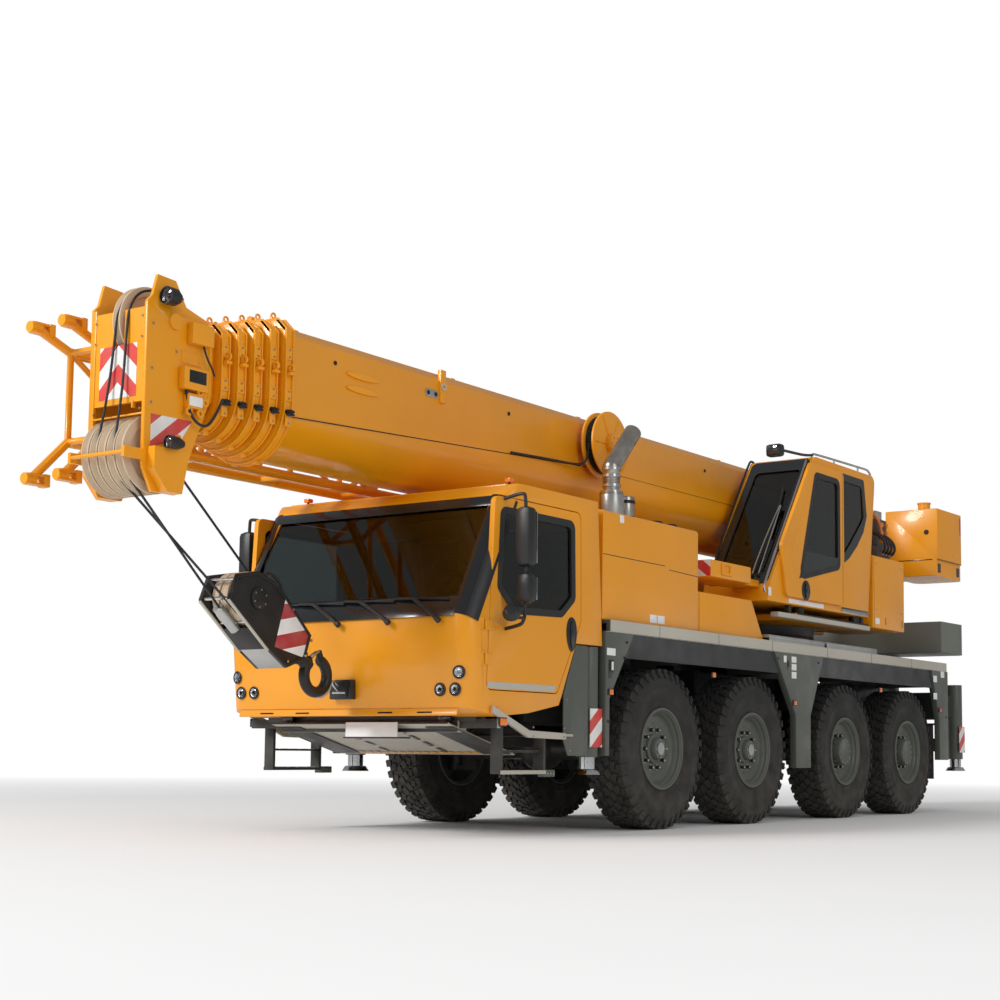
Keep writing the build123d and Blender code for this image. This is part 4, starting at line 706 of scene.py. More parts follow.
# ---------------------------------------------------------------- driver's cab
CAB_HALF = 1.24
CAB_CORNER = 0.15
SCREEN_FOOT = Vector((3.768, 0.0, 1.655))
SCREEN_HEAD = Vector((3.275, 0.0, 2.615))
FACE_FOOT = Vector((3.7, 0.0, 0.965))
SCREEN_RISE = (SCREEN_HEAD - SCREEN_FOOT).length
DOOR_WINDOW = [(3.405, 1.87), (3.372, 2.47), (2.4, 2.47), (2.385, 1.86), (2.56, 1.72), (3.2, 1.7)]
SEAT_HALF = 0.56


def slope_place(foot, head):
    """A placing whose X runs across the machine to the left, Y up the slope and Z out of it, forwards."""
    up = (head - foot).normalized()
    across = Vector(LEFTWARD)
    return Matrix.Translation(foot) @ Matrix((across, up, across.cross(up))).transposed().to_4x4()


SCREEN = slope_place(SCREEN_FOOT, SCREEN_HEAD)
NOSE = slope_place(FACE_FOOT, SCREEN_FOOT)


def on(slope, *points):
    """Points given on a slope, as places in the machine's frame."""
    return [slope @ Vector(point) for point in points]


def pillar_fairing(maker, side):
    """The windscreen's dark edge round the cab's front corner, and the black fairing behind it."""
    up = (SCREEN_HEAD - SCREEN_FOOT).normalized()
    out = Vector((0, side, 0)).cross(up) * side
    foot = SCREEN_FOOT + Vector((0, side * (CAB_HALF - CAB_CORNER), 0)) - out * CAB_CORNER
    # columns: where the arc starts and ends in degrees, how far it stands off the cab, finish
    for first, last, proud, used in ((-2, 42, 0.004, TRIM), (38, 80, 0.009, PLASTIC)):
        form = bmesh.new()
        radius = CAB_CORNER + proud
        row = []
        for i in range(9):
            angle = math.radians(first + (last - first) * i / 8)
            sideways = Vector((0, side * math.sin(angle) * radius, 0))
            row.append(form.verts.new(foot + out * math.cos(angle) * radius + sideways))
        edges = [form.edges.new(pair) for pair in zip(row, row[1:])]
        moved(form, bmesh.ops.extrude_edge_only(form, edges=edges), up * (SCREEN_RISE - 0.02))
        bmesh.ops.recalc_face_normals(form, faces=form.faces)
        if sum(face.normal.dot(out) for face in form.faces) < 0:
            bmesh.ops.reverse_faces(form, faces=form.faces)
        bmesh.ops.solidify(form, geom=form.faces[:], thickness=0.008)
        maker.add(form, used)


def round_lamp(maker, centre, normal, radius=0.046):
    """A round lamp: a black bezel, a bright bowl and a domed lens."""
    # each profile is given as shares of the radius and heights
    bezel = ((0.75, -0.004), (1.1, -0.004), (1.1, 0.006), (0.98, 0.01), (0.8, 0.004), (0.75, -0.004))
    bowl = ((0.0, -0.002), (0.8, -0.002), (0.8, 0.002), (0.35, 0.001), (0.0, 0.001))
    dome = ((0.0, 0.001), (0.78, 0.001), (0.78, 0.005), (0.5, 0.011), (0.0, 0.014))
    for profile, used in ((bezel, PLASTIC), (bowl, STEEL), (dome, LENS)):
        maker.lathe([(radius * share, height) for share, height in profile], centre, normal, used, 28)


def driver_cab():
    """What the plain cab shell has not: bands, fairings, wipers, lamps, lip, bracket, roof fittings."""
    body, slot = "carrier", "trim_plastic"
    trim = Maker(TRIM)
    flat = CAB_HALF - CAB_CORNER + 0.015
    for low, high in ((-0.02, 0.15), (SCREEN_RISE - 0.12, SCREEN_RISE - 0.03)):
        trim.plate(rectangle(-flat, flat, low, high), "XY", 0.0, 0.004, TRIM, 0.001, SCREEN)
    for side in BOTH:
        pillar_fairing(trim, side)
    trim.piece("cab_trim", body)

    wipers = Maker(PLASTIC)
    # columns: foot across, arm's head across, blade's right end, blade's left end
    for foot, head, right, left in ((0.98, 0.7, 1.02, 0.18), (0.5, 0.17, 0.5, -0.34),
                                    (0.005, -0.31, 0.0, -0.82)):
        wipers.bar(*on(SCREEN, (foot, -0.058, -0.004), (foot, -0.058, 0.034)), 0.024, PLASTIC, 0.02, 16,
                   0.003)
        arm = on(SCREEN, (foot, -0.06, 0.02), (foot - 0.04, -0.025, 0.04), (head, 0.125, 0.03))
        wipers.tube(arm, 0.016, PLASTIC)
        wipers.tube(on(SCREEN, (right, 0.12, 0.014), ((right + left) / 2, 0.15, 0.018),
                       (left, 0.128, 0.014)), 0.009,
                    PLASTIC)
        wipers.tube(on(SCREEN, (head, 0.125, 0.03), (head - 0.16, 0.14, 0.022)), 0.011, PLASTIC)
    wipers.piece("windscreen_wipers", body)

    lamps = Maker(PLASTIC)
    for side in BOTH:
        for across, rise in ((1.125, 0.26), (1.085, 0.135), (0.945, 0.135)):
            past = max(0.0, across - CAB_HALF + CAB_CORNER)
            sunk = CAB_CORNER - math.sqrt(CAB_CORNER ** 2 - past ** 2)
            normal = Vector((1.0, side * past / CAB_CORNER * 0.9, 0.0))
            round_lamp(lamps, NOSE @ Vector((side * across, rise, 0.004 - sunk)), normal)
    lamps.piece("headlamps", body)

    lip = Maker(YELLOW)
    tipped = NOSE @ spun(-24, "X")
    lip.plate(rectangle(-1.1, 1.1, -0.058, -0.006), "XY", -0.012, 0.004, YELLOW, 0.003, tipped)
    for across in (-0.8, -0.42, 0.42, 0.8):
        lip.plate(rectangle(across - 0.07, across + 0.07, -0.042, -0.03), "XY", 0.003, 0.0055, TRIM, 0.0,
                  tipped)
    lip.piece("cab_lip", body)

    bracket = Maker(PLASTIC)
    x = FACE_FOOT.x + 0.01
    bracket.blocks([
        (x, x + 0.06, -0.095, 0.125, 1.035, 1.185, PLASTIC, 0.008),
        (x + 0.055, x + 0.075, -0.06, 0.09, 1.05, 1.17, PLASTIC, 0.004),
    ])
    bracket.bar((x + 0.07, -0.05, 1.085), (x + 0.07, 0.08, 1.085), 0.01, STEEL)
    loop = ((0.07, 1.1), (0.115, 1.13), (0.14, 1.16), (0.115, 1.18), (0.07, 1.14))
    bracket.tube([(x + ahead, 0.0, z) for ahead, z in loop], 0.008, STEEL)
    bracket.piece("hook_bracket", body)

    roof = Maker(YELLOW)
    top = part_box("driver_cab_shell")[1].z
    roof.blocks([(2.1, 3.1, 1.02, 1.05, top - 0.004, top + 0.01, YELLOW, 0.004)], BOTH)
    roof.blocks([(3.03, 3.16, -1.12, 1.12, top - 0.03, top + 0.006, YELLOW, 0.008)])
    for across in (-1.05, 1.05):
        roof.bar((3.02, across, top), (3.02, across, top + 0.045), 0.01, PLASTIC)
        roof.blocks([(2.985, 3.05, across - 0.028, across + 0.028, top + 0.04, top + 0.075, ORANGE_LENS,
                      0.01)])
    roof.piece("cab_roof_fittings", body)


def driver_doors():
    """The two doors: panel, pane in its rubber, seam stripe, recessed handle and mirrors on their arms."""
    for side_name, side in SIDES:
        node = f"driver_door_{side_name}"
        wall = side * CAB_HALF
        door = Maker(YELLOW)
        door.cad(node, YELLOW, 0.004, keep=lambda low, high: high.y - low.y > 0.03,
                 cut=((0, side * (CAB_HALF + 0.0131), 0), (0, side, 0)))
        stripe = [(2.66, 1.112), (3.535, 1.112), (3.532, 1.162), (2.628, 1.162)]
        cup = oval(2.42, 1.578, 0.145, 0.275, pinch=0.14)
        # columns: outline, from and to off the wall, finish, edge rounding
        for outline, low, high, used, edge in (
                (stripe, 0.0, 0.002, BEIGE, 0.0),
                (cup, -0.004, 0.006, PLASTIC, 0.003),
                (oval(2.42, 1.575, 0.055, 0.215), 0.0, 0.016, TRIM, 0.006)):
            door.plate(outline, "XZ", wall + side * low, wall + side * high, used, edge)
        rubber = soft_corners(inset(DOOR_WINDOW, -0.018), 0.075)
        door.frame(rubber, soft_corners(inset(DOOR_WINDOW, 0.038), 0.045), "XZ", wall - side * 0.024,
                   wall + side * 0.005, PLASTIC, 0.002)
        door.piece(f"door_panel_{side_name}", node, [node])

        pane = Maker(GLASS)
        pane.cad(node, GLASS, 0.0, keep=lambda low, high: high.y - low.y < 0.03)
        pane.piece(f"door_pane_{side_name}", node)

        mirrors = Maker(PLASTIC)
        half = CAB_HALF
        out = half + 0.192
        # each route's columns: x, distance left of the middle, z
        pole = ((3.33, half, 1.56), (3.33, half + 0.09, 1.575), (3.33, out, 1.6), (3.328, out, 1.8),
                (3.325, out, 2.55), (3.335, out - 0.03, 2.585), (3.345, half + 0.006, 2.545))
        arm = ((3.33, out, 1.64), (3.4, out - 0.01, 1.625), (3.455, out - 0.02, 1.65))
        for route, radius in ((pole, 0.014), (arm, 0.012)):
            mirrors.tube([(x, side * y, z) for x, y, z in route], radius, PLASTIC)
        mirrors.blocks([
            (3.262, 3.392, half + 0.12, half + 0.262, 2.02, 2.472, PLASTIC, 0.045),
            (3.262, 3.385, half + 0.128, half + 0.262, 1.745, 1.975, PLASTIC, 0.045),
            (3.257, 3.264, half + 0.135, half + 0.248, 2.05, 2.44, CHROME_ROD, 0.002),
            (3.257, 3.264, half + 0.14, half + 0.25, 1.775, 1.945, CHROME_ROD, 0.002),
        ], (side,))
        mirrors.bar((3.44, side * (out - 0.045), 1.66), (3.485, side * (out - 0.015), 1.69), 0.072, PLASTIC,
                    0.052, 24, 0.012)
        mirrors.piece(f"mirrors_{side_name}", node)


def padded_form(size, crown, pull=0.1):
    """A crowned cushion block round the origin, its sides pulled in between the corners."""
    form = bmesh.new()
    bmesh.ops.create_cube(form, size=1.0)
    bmesh.ops.subdivide_edges(form, edges=form.edges[:], cuts=7, use_grid_fill=True)
    for vertex in form.verts:
        u, v, w = vertex.co * 2
        bulge = (1 - u * u) * (1 - v * v)
        vertex.co.x *= 1 - pull * (1 - abs(v)) * (1 if abs(u) > 0.9 else 0) * 0.3
        vertex.co.y *= 1 - pull * (1 - abs(u)) * (1 if abs(v) > 0.9 else 0) * 0.3
        vertex.co.z += crown * bulge * (0.5 if w > 0.9 else 0.0)
        vertex.co.z *= 1 - 0.1 * max(abs(u), abs(v)) ** 6
    bmesh.ops.scale(form, vec=size, verts=form.verts)
    for _ in range(2):
        bmesh.ops.smooth_vert(form, verts=form.verts, factor=0.5, use_axis_x=True, use_axis_y=True,
                              use_axis_z=True)
    return form


def cushion(name, size, place, body, lean=0.0):
    """A stuffed seat part with its middle at a place, leaned back in degrees."""
    maker = Maker(CLOTH)
    maker.add(padded_form(size, 0.3), CLOTH, Matrix.Translation(place) @ spun(-lean, "Y"))
    maker.piece(name, body, smooth=80)


def driver_interior():
    """Floor, dash, steering wheel and two seats behind the glass."""
    room = Maker(PLASTIC)
    room.blocks([
        (2.11, 3.56, -1.1, 1.1, 1.5503, 1.575, PLASTIC, 0.004),
        (3.31, 3.56, -1.08, 1.08, 1.57, 1.645, PLASTIC, 0.008),
    ])
    dash = [(3.25, 1.64), (3.56, 1.64), (3.63, 1.69), (3.3, 1.855), (3.185, 1.83)]
    room.plate(dash, "XZ", -1.08, 1.08, PLASTIC, 0.02)
    room.tube([(x, SEAT_HALF, z) for x, z in ((3.262, 1.76), (3.15, 1.862), (3.022, 1.992))], 0.028, PLASTIC)
    wheel = bmesh.new()
    rim = Matrix.Translation((0.213, 0, 0)) @ spun(90, "X")
    bmesh.ops.create_circle(wheel, segments=12, radius=0.015, matrix=rim)
    bmesh.ops.spin(wheel, geom=wheel.verts[:] + wheel.edges[:], angle=math.tau, steps=40, axis=(0, 0, 1),
                   cent=(0, 0, 0), use_merge=True)
    bmesh.ops.recalc_face_normals(wheel, faces=wheel.faces)
    hub = turned((3.012, SEAT_HALF, 2.003), (2.782, SEAT_HALF, 2.228))
    room.add(wheel, PLASTIC, hub)
    room.blocks([
        (-0.21, 0.21, -0.02, 0.02, -0.006, 0.006, PLASTIC, 0.004),
        (-0.06, 0.06, -0.06, 0.06, -0.012, 0.014, PLASTIC, 0.012),
    ], place=hub)
    room.blocks([(2.45, 2.85, SEAT_HALF - 0.19, SEAT_HALF + 0.19, 1.575, 1.79, PLASTIC, 0.02)], BOTH)
    room.piece("cab_room", "carrier", ["driver_cab_interior"])
    for side_name, side in SIDES:
        y = side * SEAT_HALF
        cushion(f"driver_seat_{side_name}", (0.5, 0.48, 0.12), (2.64, y, 1.85), "carrier")
        cushion(f"driver_backrest_{side_name}", (0.52, 0.46, 0.105), (2.385, y, 2.185), "carrier", 80)


# ---------------------------------------------------------------- hook block and hook
HOOK_CENTRE = Vector((4.035, 0.0, 1.205))
HOOK_LEAN = math.radians(37)
SHANK = Vector((math.cos(HOOK_LEAN), 0.0, math.sin(HOOK_LEAN)))
ACROSS = Vector((-math.sin(HOOK_LEAN), 0.0, math.cos(HOOK_LEAN)))
BLOCK_TURN = Matrix((SHANK, Vector(LEFTWARD), ACROSS)).transposed().to_4x4()
BLOCK_PLACE = Matrix.Translation(HOOK_CENTRE) @ BLOCK_TURN
BLOCK_SIDE = 0.15
SHAFT_ALONG = 0.93
SHAFT_ACROSS = -0.055
# columns: distance along the shank from the hook's middle, distance across it
BLOCK_CHEEK = [(1.2, -0.06), (1.06, 0.09), (0.9, 0.145), (0.72, 0.145), (0.35, 0.095), (0.29, -0.09),
               (0.4, -0.26), (0.62, -0.275), (1.15, -0.25)]


def from_hook(along, across, y=0.0):
    return BLOCK_PLACE @ Vector((along, y, across))


def in_profile(points):
    """Points given along and across the shank, as an outline in the plane XZ."""
    return [(point.x, point.z) for point in (from_hook(*pair) for pair in points)]


def block_finish(centre, _):
    """Falls are rope, the dead end's socket is bare metal, the sheaves are nylon, the rest is black."""
    offset = centre - HOOK_CENTRE
    along, across = offset.dot(SHANK), offset.dot(ACROSS)
    if along > 1.26:
        return ROPE
    if abs(centre.y) < 0.05 and across < -0.235:
        return ALUMINIUM
    if abs(centre.y) < 0.124 and math.hypot(along - SHAFT_ALONG, across - SHAFT_ACROSS) < 0.195:
        return NYLON
    return DARK_STEEL


def hook_block():
    """The hook block with flanged cheeks, stripes, shaft caps, guard rods and the rope's wedge socket."""
    block = Maker(DARK_STEEL)
    block.cad("hook_block", DARK_STEEL, 0.0, choose=block_finish)
    rim = in_profile(inset(BLOCK_CHEEK, 0.002))
    inner = in_profile(inset(BLOCK_CHEEK, 0.026))
    stripes = [(4.535, 1.742), (4.272, 1.484), (4.337, 1.322), (4.64, 1.385)]
    edge_strip = in_profile([(1.145, -0.262), (1.145, -0.25), (0.62, -0.274), (0.62, -0.286)])
    # columns: distance along, distance across, distance from the middle plane
    handle = ((0.76, 0.14, 0.11), (0.76, 0.19, 0.112), (0.86, 0.205, 0.112), (0.96, 0.185, 0.11),
              (0.96, 0.12, 0.108))
    for side in BOTH:
        out = (0, side, 0)
        block.frame(rim, inner, "XZ", side * (BLOCK_SIDE - 0.002), side * (BLOCK_SIDE + 0.01), DARK_STEEL,
                    0.003)
        block.plate(stripes, "XZ", side * BLOCK_SIDE, side * (BLOCK_SIDE + 0.0025), STRIPE_BLOCK, 0.001)
        block.plate(edge_strip, "XZ", side * 0.128, side * 0.154, BEIGE, 0.003)
        block.lathe([(0.0, 0.0), (0.082, 0.0), (0.08, 0.014), (0.06, 0.02), (0.03, 0.022), (0.0, 0.022)],
                    from_hook(SHAFT_ALONG, SHAFT_ACROSS, side * (BLOCK_SIDE - 0.002)), out, DARK_STEEL, 32)
        ring = circle(SHAFT_ALONG, side * (BLOCK_SIDE + 0.014), SHAFT_ACROSS, 0.062, 6)
        block.bolts([BLOCK_PLACE @ place for place in ring], out, STEEL, 0.008, 0.007)
        screws = ((0.33, 0.06), (0.31, -0.07), (0.43, -0.225), (0.62, 0.11))
        block.bolts([from_hook(*pair, side * (BLOCK_SIDE + 0.008)) for pair in screws], out, STEEL, 0.012,
                    0.01)
        block.tube([from_hook(along, across, side * y) for along, across, y in handle], 0.011, DARK_STEEL)
    # rods that keep the rope in the sheaves, and spacers between the cheeks
    for pair in ((1.165, -0.075), (1.13, -0.225), (0.9, -0.246), (0.72, 0.12), (0.66, -0.25)):
        block.bar(from_hook(*pair, -BLOCK_SIDE), from_hook(*pair, BLOCK_SIDE), 0.013, STEEL, steps=16)
    # columns: outline along and across, half width, edge rounding
    for outline, half, edge in (
            (((0.86, -0.272), (0.86, -0.262), (0.64, -0.272), (0.64, -0.284)), 0.13, 0.003),
            (((0.43, -0.135), (0.43, 0.11), (0.325, 0.085), (0.31, -0.08)), 0.112, 0.008)):
        block.plate(in_profile(outline), "XZ", -half, half, DARK_STEEL, edge)
    groove = [(0.196, -0.032), (0.196, -0.022), (0.162, -0.006), (0.162, 0.006), (0.196, 0.022),
              (0.196, 0.032)]
    for y in (-0.084, 0.0, 0.084):
        block.lathe([(0.166, -0.03), *groove, (0.166, 0.03), (0.166, -0.03)],
                    from_hook(SHAFT_ALONG, SHAFT_ACROSS, y), LEFTWARD, NYLON)
    block.piece("hook_block_dressed", "hook_block", ["hook_block"])

    hook = Maker(DARK_STEEL)
    hook.cad("hook", DARK_STEEL, 0.0)
    hook.lathe([(0.0, 0.0), (0.06, 0.0), (0.066, 0.008), (0.066, 0.034), (0.058, 0.042), (0.0, 0.042)],
               from_hook(0.205, 0.0), SHANK, DARK_STEEL, 32)
    for side in BOTH:
        latch = [(4.128, side * 0.018, 1.302), (4.085, side * 0.02, 1.352), (4.02, side * 0.016, 1.388)]
        hook.tube(latch, 0.008, STEEL)
    hook.bar((4.128, -0.034, 1.3), (4.128, 0.034, 1.3), 0.012, STEEL, steps=16)
    # a short sling ties the hook to the cab's bracket for the road
    sling = [(4.052, 0.0, 1.062), (4.02, 0.012, 1.036), (3.96, 0.016, 1.05), (3.9, 0.012, 1.09),
             (3.868, 0.0, 1.128), (3.862, -0.01, 1.15), (3.884, -0.014, 1.14), (3.93, -0.016, 1.094),
             (3.99, -0.014, 1.056), (4.04, -0.006, 1.052)]
    hook.tube(sling, 0.011, BEIGE)
    hook.piece("hook_dressed", "hook", ["hook"])


# ---------------------------------------------------------------- boom
BOOM_HALF = 0.37
BOOM_TOP = 3.68
BOOM_BOTTOM = 2.74
BOOM_STEP = 0.032
COLLAR_FRONT = 4.875
COLLAR_PITCH = 0.125
COLLAR_LENGTH = 0.085


def boom_outline(grown, steps=16):
    """The boom's cross-section in the plane YZ, grown outwards by a distance."""
    half, top, bottom = BOOM_HALF + grown, BOOM_TOP + grown, BOOM_BOTTOM - grown
    arc = [math.pi + math.pi * i / steps for i in range(steps + 1)]
    belly = [(half * math.cos(a), bottom + half + half * math.sin(a)) for a in arc]
    return belly + [(half, top - 0.09), (half - 0.09, top), (-half + 0.09, top), (-half, top - 0.09)]


def seam_lines(maker, rows, face, side):
    """Thin dark joint lines on a side wall. Columns: x and z of the start, x and z of the end, width."""
    for x0, z0, x1, z1, width in rows:
        start, end = Vector((x0, z0)), Vector((x1, z1))
        along = (end - start).normalized()
        out = Vector((-along.y, along.x)) * width / 2
        corners = [tuple(point) for point in (start - out, end - out, end + out, start + out)]
        maker.plate(corners, "XZ", side * face, side * (face + 0.0012), TRIM, 0.0)


def boom_collars():
    """Each section's collar: two ribs, top lugs with rings, side pads and the hose bracket."""
    for number, body in enumerate(SECTION_BODIES):
        front = COLLAR_FRONT + number * COLLAR_PITCH
        rear = front - COLLAR_LENGTH
        ring_x = front - 0.042
        shrink = number * BOOM_STEP
        collar = Maker(YELLOW)
        for x in (rear, front - 0.012):
            collar.frame(boom_outline(0.05 - shrink), boom_outline(0.03 - shrink), "YZ", x, x + 0.012,
                         YELLOW, 0.002)
        top = BOOM_TOP - shrink + 0.034
        half = BOOM_HALF - shrink + 0.034
        belly = BOOM_BOTTOM + shrink - 0.034
        pads = (3.46 - shrink * 0.5, 3.16, 2.98)
        collar.blocks([
            (rear + 0.018, front - 0.016, half - 0.172, half - 0.148, top, top + 0.036, YELLOW, 0.006),
            (rear + 0.016, front - 0.016, half - 0.004, half + 0.05, 3.3, 3.322, YELLOW, 0.003),
            (rear + 0.014, front - 0.014, 0.09, 0.11, belly - 0.012, belly + 0.06, YELLOW, 0.003),
            *((rear + 0.014, front - 0.014, half, half + 0.012, z - 0.045, z + 0.045, YELLOW, 0.004)
              for z in pads),
        ], BOTH)
        for side in BOTH:
            collar.ring(0.014, 0.026, -0.005, 0.005, (ring_x, side * (half - 0.16), top + 0.046), LEFTWARD,
                        YELLOW)
            collar.ring(0.018, 0.03, -0.008, 0.008, (ring_x, side * (half + 0.034), 3.352), AHEAD, YELLOW)
            heads = [(ring_x, side * (half + 0.011), z + rise) for z in pads for rise in (-0.026, 0.026)]
            collar.bolts(heads, (0, side, 0), STEEL, 0.009, 0.008)
        # the hose bracket, with its clamp and two short hoses
        collar.blocks([(rear + 0.02, front - 0.02, half, half + 0.042, 3.01, 3.052, DARK_STEEL, 0.004)])
        for z in (3.02, 3.042):
            collar.bar((rear + 0.004, half + 0.03, z), (front - 0.004, half + 0.03, z), 0.008, PLASTIC,
                       steps=12)
        collar.piece(f"collar_trim_{number}", body)


def boom_side():
    """Joint lines, wear pads, the lug's ring and the stowed rope along the base section."""
    trim = Maker(YELLOW)
    face = BOOM_HALF
    for side in BOTH:
        seam_lines(trim, [(4.775, 3.02, 0.985, 3.22, 0.008), (0.955, 3.222, -1.95, 3.222, 0.004)], face,
                   side)
        for z in (3.455, 3.35):
            trim.plate(oval(3.985, z, 0.38, 0.052, 24), "XZ", side * face, side * (face + 0.012), YELLOW,
                       0.005)
        trim.plate(rectangle(2.985, 3.055, 3.43, 3.7), "XZ", side * (face - 0.02), side * (face + 0.016),
                   YELLOW, 0.006)
        trim.ring(0.014, 0.03, 0.0, 0.01, (3.02, side * (face + 0.015), 3.56), (0, side, 0), BEIGE)
        trim.plate(soft_rectangle(3.07, 3.235, 3.455, 3.52, 0.026), "XZ", side * face, side * (face + 0.006),
                   ALUMINIUM, 0.002)
        for x in (4.3, 2.1, 0.4, -1.3, -3.2):
            trim.bar((x, side * face, 3.505), (x, side * (face + 0.004), 3.505), 0.017, DARK_STEEL, steps=20)
        for x in (3.105, 3.2):
            trim.bar((x, side * (face + 0.005), 3.487), (x, side * (face + 0.008), 3.487), 0.018, DARK_STEEL)
    rail = 0.105
    trim.tube([(-4.9, rail, 3.728), (4.6, rail, 3.728)], 0.009, ROPE, smooth=False)
    for x in (-4.6, -2.0, 0.7, 2.6, 4.5):
        for y in (rail - 0.05, rail + 0.026):
            trim.blocks([(x - 0.03, x + 0.03, y, y + 0.024, BOOM_TOP - 0.002, 3.742, YELLOW, 0.004)])
        trim.bar((x, rail - 0.03, 3.706), (x, rail + 0.03, 3.706), 0.012, NYLON, steps=16)
    trim.piece("boom_base_trim", "boom_base")


def boom_head_details():
    """The chevron sheet, ropes over the front, lamps, control boxes, rings and the corner marker."""
    face = 6.036
    front = Maker(YELLOW)
    front.plate(rectangle(-0.18, 0.18, 2.965, 3.325), "YZ", face, face + 0.0025, CHEVRON, 0.0)
    front.blocks([
        (face - 0.004, face + 0.01, -0.251, 0.251, 2.835, 2.847, YELLOW, 0.003),
        (face - 0.02, face + 0.006, -0.251, -0.227, 2.5, 3.59, YELLOW, 0.003),
        (face - 0.02, face + 0.006, 0.245, 0.269, 2.5, 3.59, YELLOW, 0.003),
        (face - 0.02, face + 0.012, 0.15, 0.164, 2.885, 2.935, YELLOW, 0.003),
    ])
    front.bolts([(face, y, z) for y in (-0.225, 0.225) for z in (2.875, 3.36, 3.5)], AHEAD, STEEL, 0.01,
                0.008)
    for y, low_y in ((-0.02, -0.084), (0.09, 0.084)):
        front.tube([(5.56, y, 3.735), (5.8, y, 3.746), (5.96, y, 3.7), (6.044, y, 3.56), (6.052, y, 3.4),
                    (6.07, (y + low_y) / 2, 3.0), (6.12, low_y, 2.64), (6.124, low_y, 2.56)], 0.009, ROPE)
    front.piece("head_front_trim", "boom_head")

    trim = Maker(YELLOW)
    wall = 0.275
    trim.blocks([(5.735, 5.785, wall + 0.001, wall + 0.03, 2.685, 2.735, ORANGE_LENS, 0.01)], BOTH)
    marker = [(5.985, 2.845), (5.62, 2.85), (5.765, 2.64), (5.985, 2.61)]
    screws = ((5.99, 3.45), (5.99, 3.15), (5.99, 2.92), (5.78, 3.3))
    for side in BOTH:
        trim.plate(marker, "XZ", side * wall, side * (wall + 0.0025), STRIPE_SIDE, 0.0)
        trim.bolts([(x, side * wall, z) for x, z in screws], (0, side, 0), STEEL, 0.01, 0.008)
    # the lower lamp and the upper one, both facing ahead
    for place, wide, long in (((5.8, 0.385, 2.655), 0.045, 0.13), ((5.83, 0.345, 3.64), 0.062, 0.12)):
        x, y, z = place
        trim.blocks([(x + 0.03, x + 0.06, wall, y, z - 0.018, z + 0.018, YELLOW, 0.004)])
        trim.lathe([(0.0, 0.0), (wide * 0.55, 0.0), (wide * 0.95, long * 0.35), (wide, long),
                    (wide * 0.9, long),
                    (wide * 0.88, long - 0.012), (0.0, long - 0.014)], place, AHEAD, PLASTIC, 32)
        trim.lathe([(0.0, long - 0.013), (wide * 0.87, long - 0.012), (wide * 0.6, long - 0.004),
                    (0.0, long - 0.001)],
                   place, AHEAD, LENS, 32)
    trim.blocks([
        (5.49, 5.69, wall, wall + 0.062, 3.375, 3.52, YELLOW, 0.008),
        (5.535, 5.757, wall, wall + 0.066, 3.052, 3.205, YELLOW, 0.008),
        (5.56, 5.715, wall + 0.065, wall + 0.0675, 3.1, 3.185, TRIM, 0.001),
        (5.575, 5.705, wall, wall + 0.052, 2.93, 3.03, YELLOW, 0.004),
    ])
    trim.bar((5.7, wall + 0.03, 3.055), (5.7, wall + 0.03, 3.02), 0.016, PLASTIC, steps=16)
    window = rectangle(5.56, 5.735, 3.235, 3.33)
    trim.frame(window, inset(window, 0.012), "XZ", wall, wall + 0.004, YELLOW, 0.001)
    trim.labels([(5.58, 5.7, 2.945, 3.01)], wall + 0.052, 1, WHITE, 0.006, 0.002)
    for x, z in ((5.69, 2.905), (5.59, 2.905), (5.59, 3.052), (5.545, 2.985)):
        trim.ring(0.014, 0.03, -0.007, 0.007, (x, wall + 0.04, z), LEFTWARD, YELLOW)
        trim.bar((x, wall, z + 0.02), (x, wall + 0.036, z + 0.02), 0.008, YELLOW, steps=12)
    # each cable's columns: x, distance off the wall, z
    loop = ((5.7, 0.03, 3.02), (5.69, 0.04, 2.88), (5.56, 0.06, 2.8), (5.48, 0.08, 2.9),
            (5.44, 0.1, 3.02))
    short = ((5.56, 0.03, 3.375), (5.54, 0.04, 3.3), (5.5, 0.05, 3.24), (5.48, 0.06, 3.18))
    for route, radius in ((loop, 0.01), (short, 0.007)):
        trim.tube([(x, wall + off, z) for x, off, z in route], radius, PLASTIC)
    trim.piece("head_side_trim", "boom_head")


def head_sheaves():
    """The top sheave and the five lower ones, with rope grooves, webs and hubs."""
    sheaves = Maker(NYLON)
    rows = [((5.8, 0.0, 3.5), 0.27, 0.06)]
    rows += [((5.89, (i - 2) * 0.084, 2.59), 0.265, 0.065) for i in range(5)]
    for centre, radius, bore in rows:
        foot = radius - 0.034
        half = [(bore, 0.036), (bore + 0.04, 0.036), (bore + 0.048, 0.02), (foot - 0.042, 0.02),
                (foot - 0.034, 0.034), (radius - 0.003, 0.036), (radius, 0.033), (radius, 0.028),
                (foot + 0.004, 0.011), (foot, 0.004)]
        profile = [(out, -y) for out, y in half] + half[::-1]
        sheaves.lathe(profile + profile[:1], centre, LEFTWARD, NYLON, 72)
    sheaves.piece("head_sheaves_dressed", BODY_OF["head_sheaves"], ["head_sheaves"])


# ---------------------------------------------------------------- front gear, deck and struts
RAIL_FOOT = 1.62
DECK_FACE = 1.262
FENDER_FACE = 1.24


def gear_finish(centre, normal):
    """Side rails and skid plate are pale, the panels by the jacks grey, the steps black with bare treads."""
    across = abs(centre.y)
    if across > 1.2405 and centre.z > 0.74:
        return BEIGE
    if across > 1.217 and centre.x < 2.51:
        return GREY
    if 0.5 < centre.z < 0.507 and across > 1.1:
        return ALUMINIUM
    if across < 0.905 and 0.618 < centre.z < 0.864 and 2.69 < centre.x < 3.561 and abs(normal.x) < 0.5:
        return BEIGE
    return BLACK_PAINT


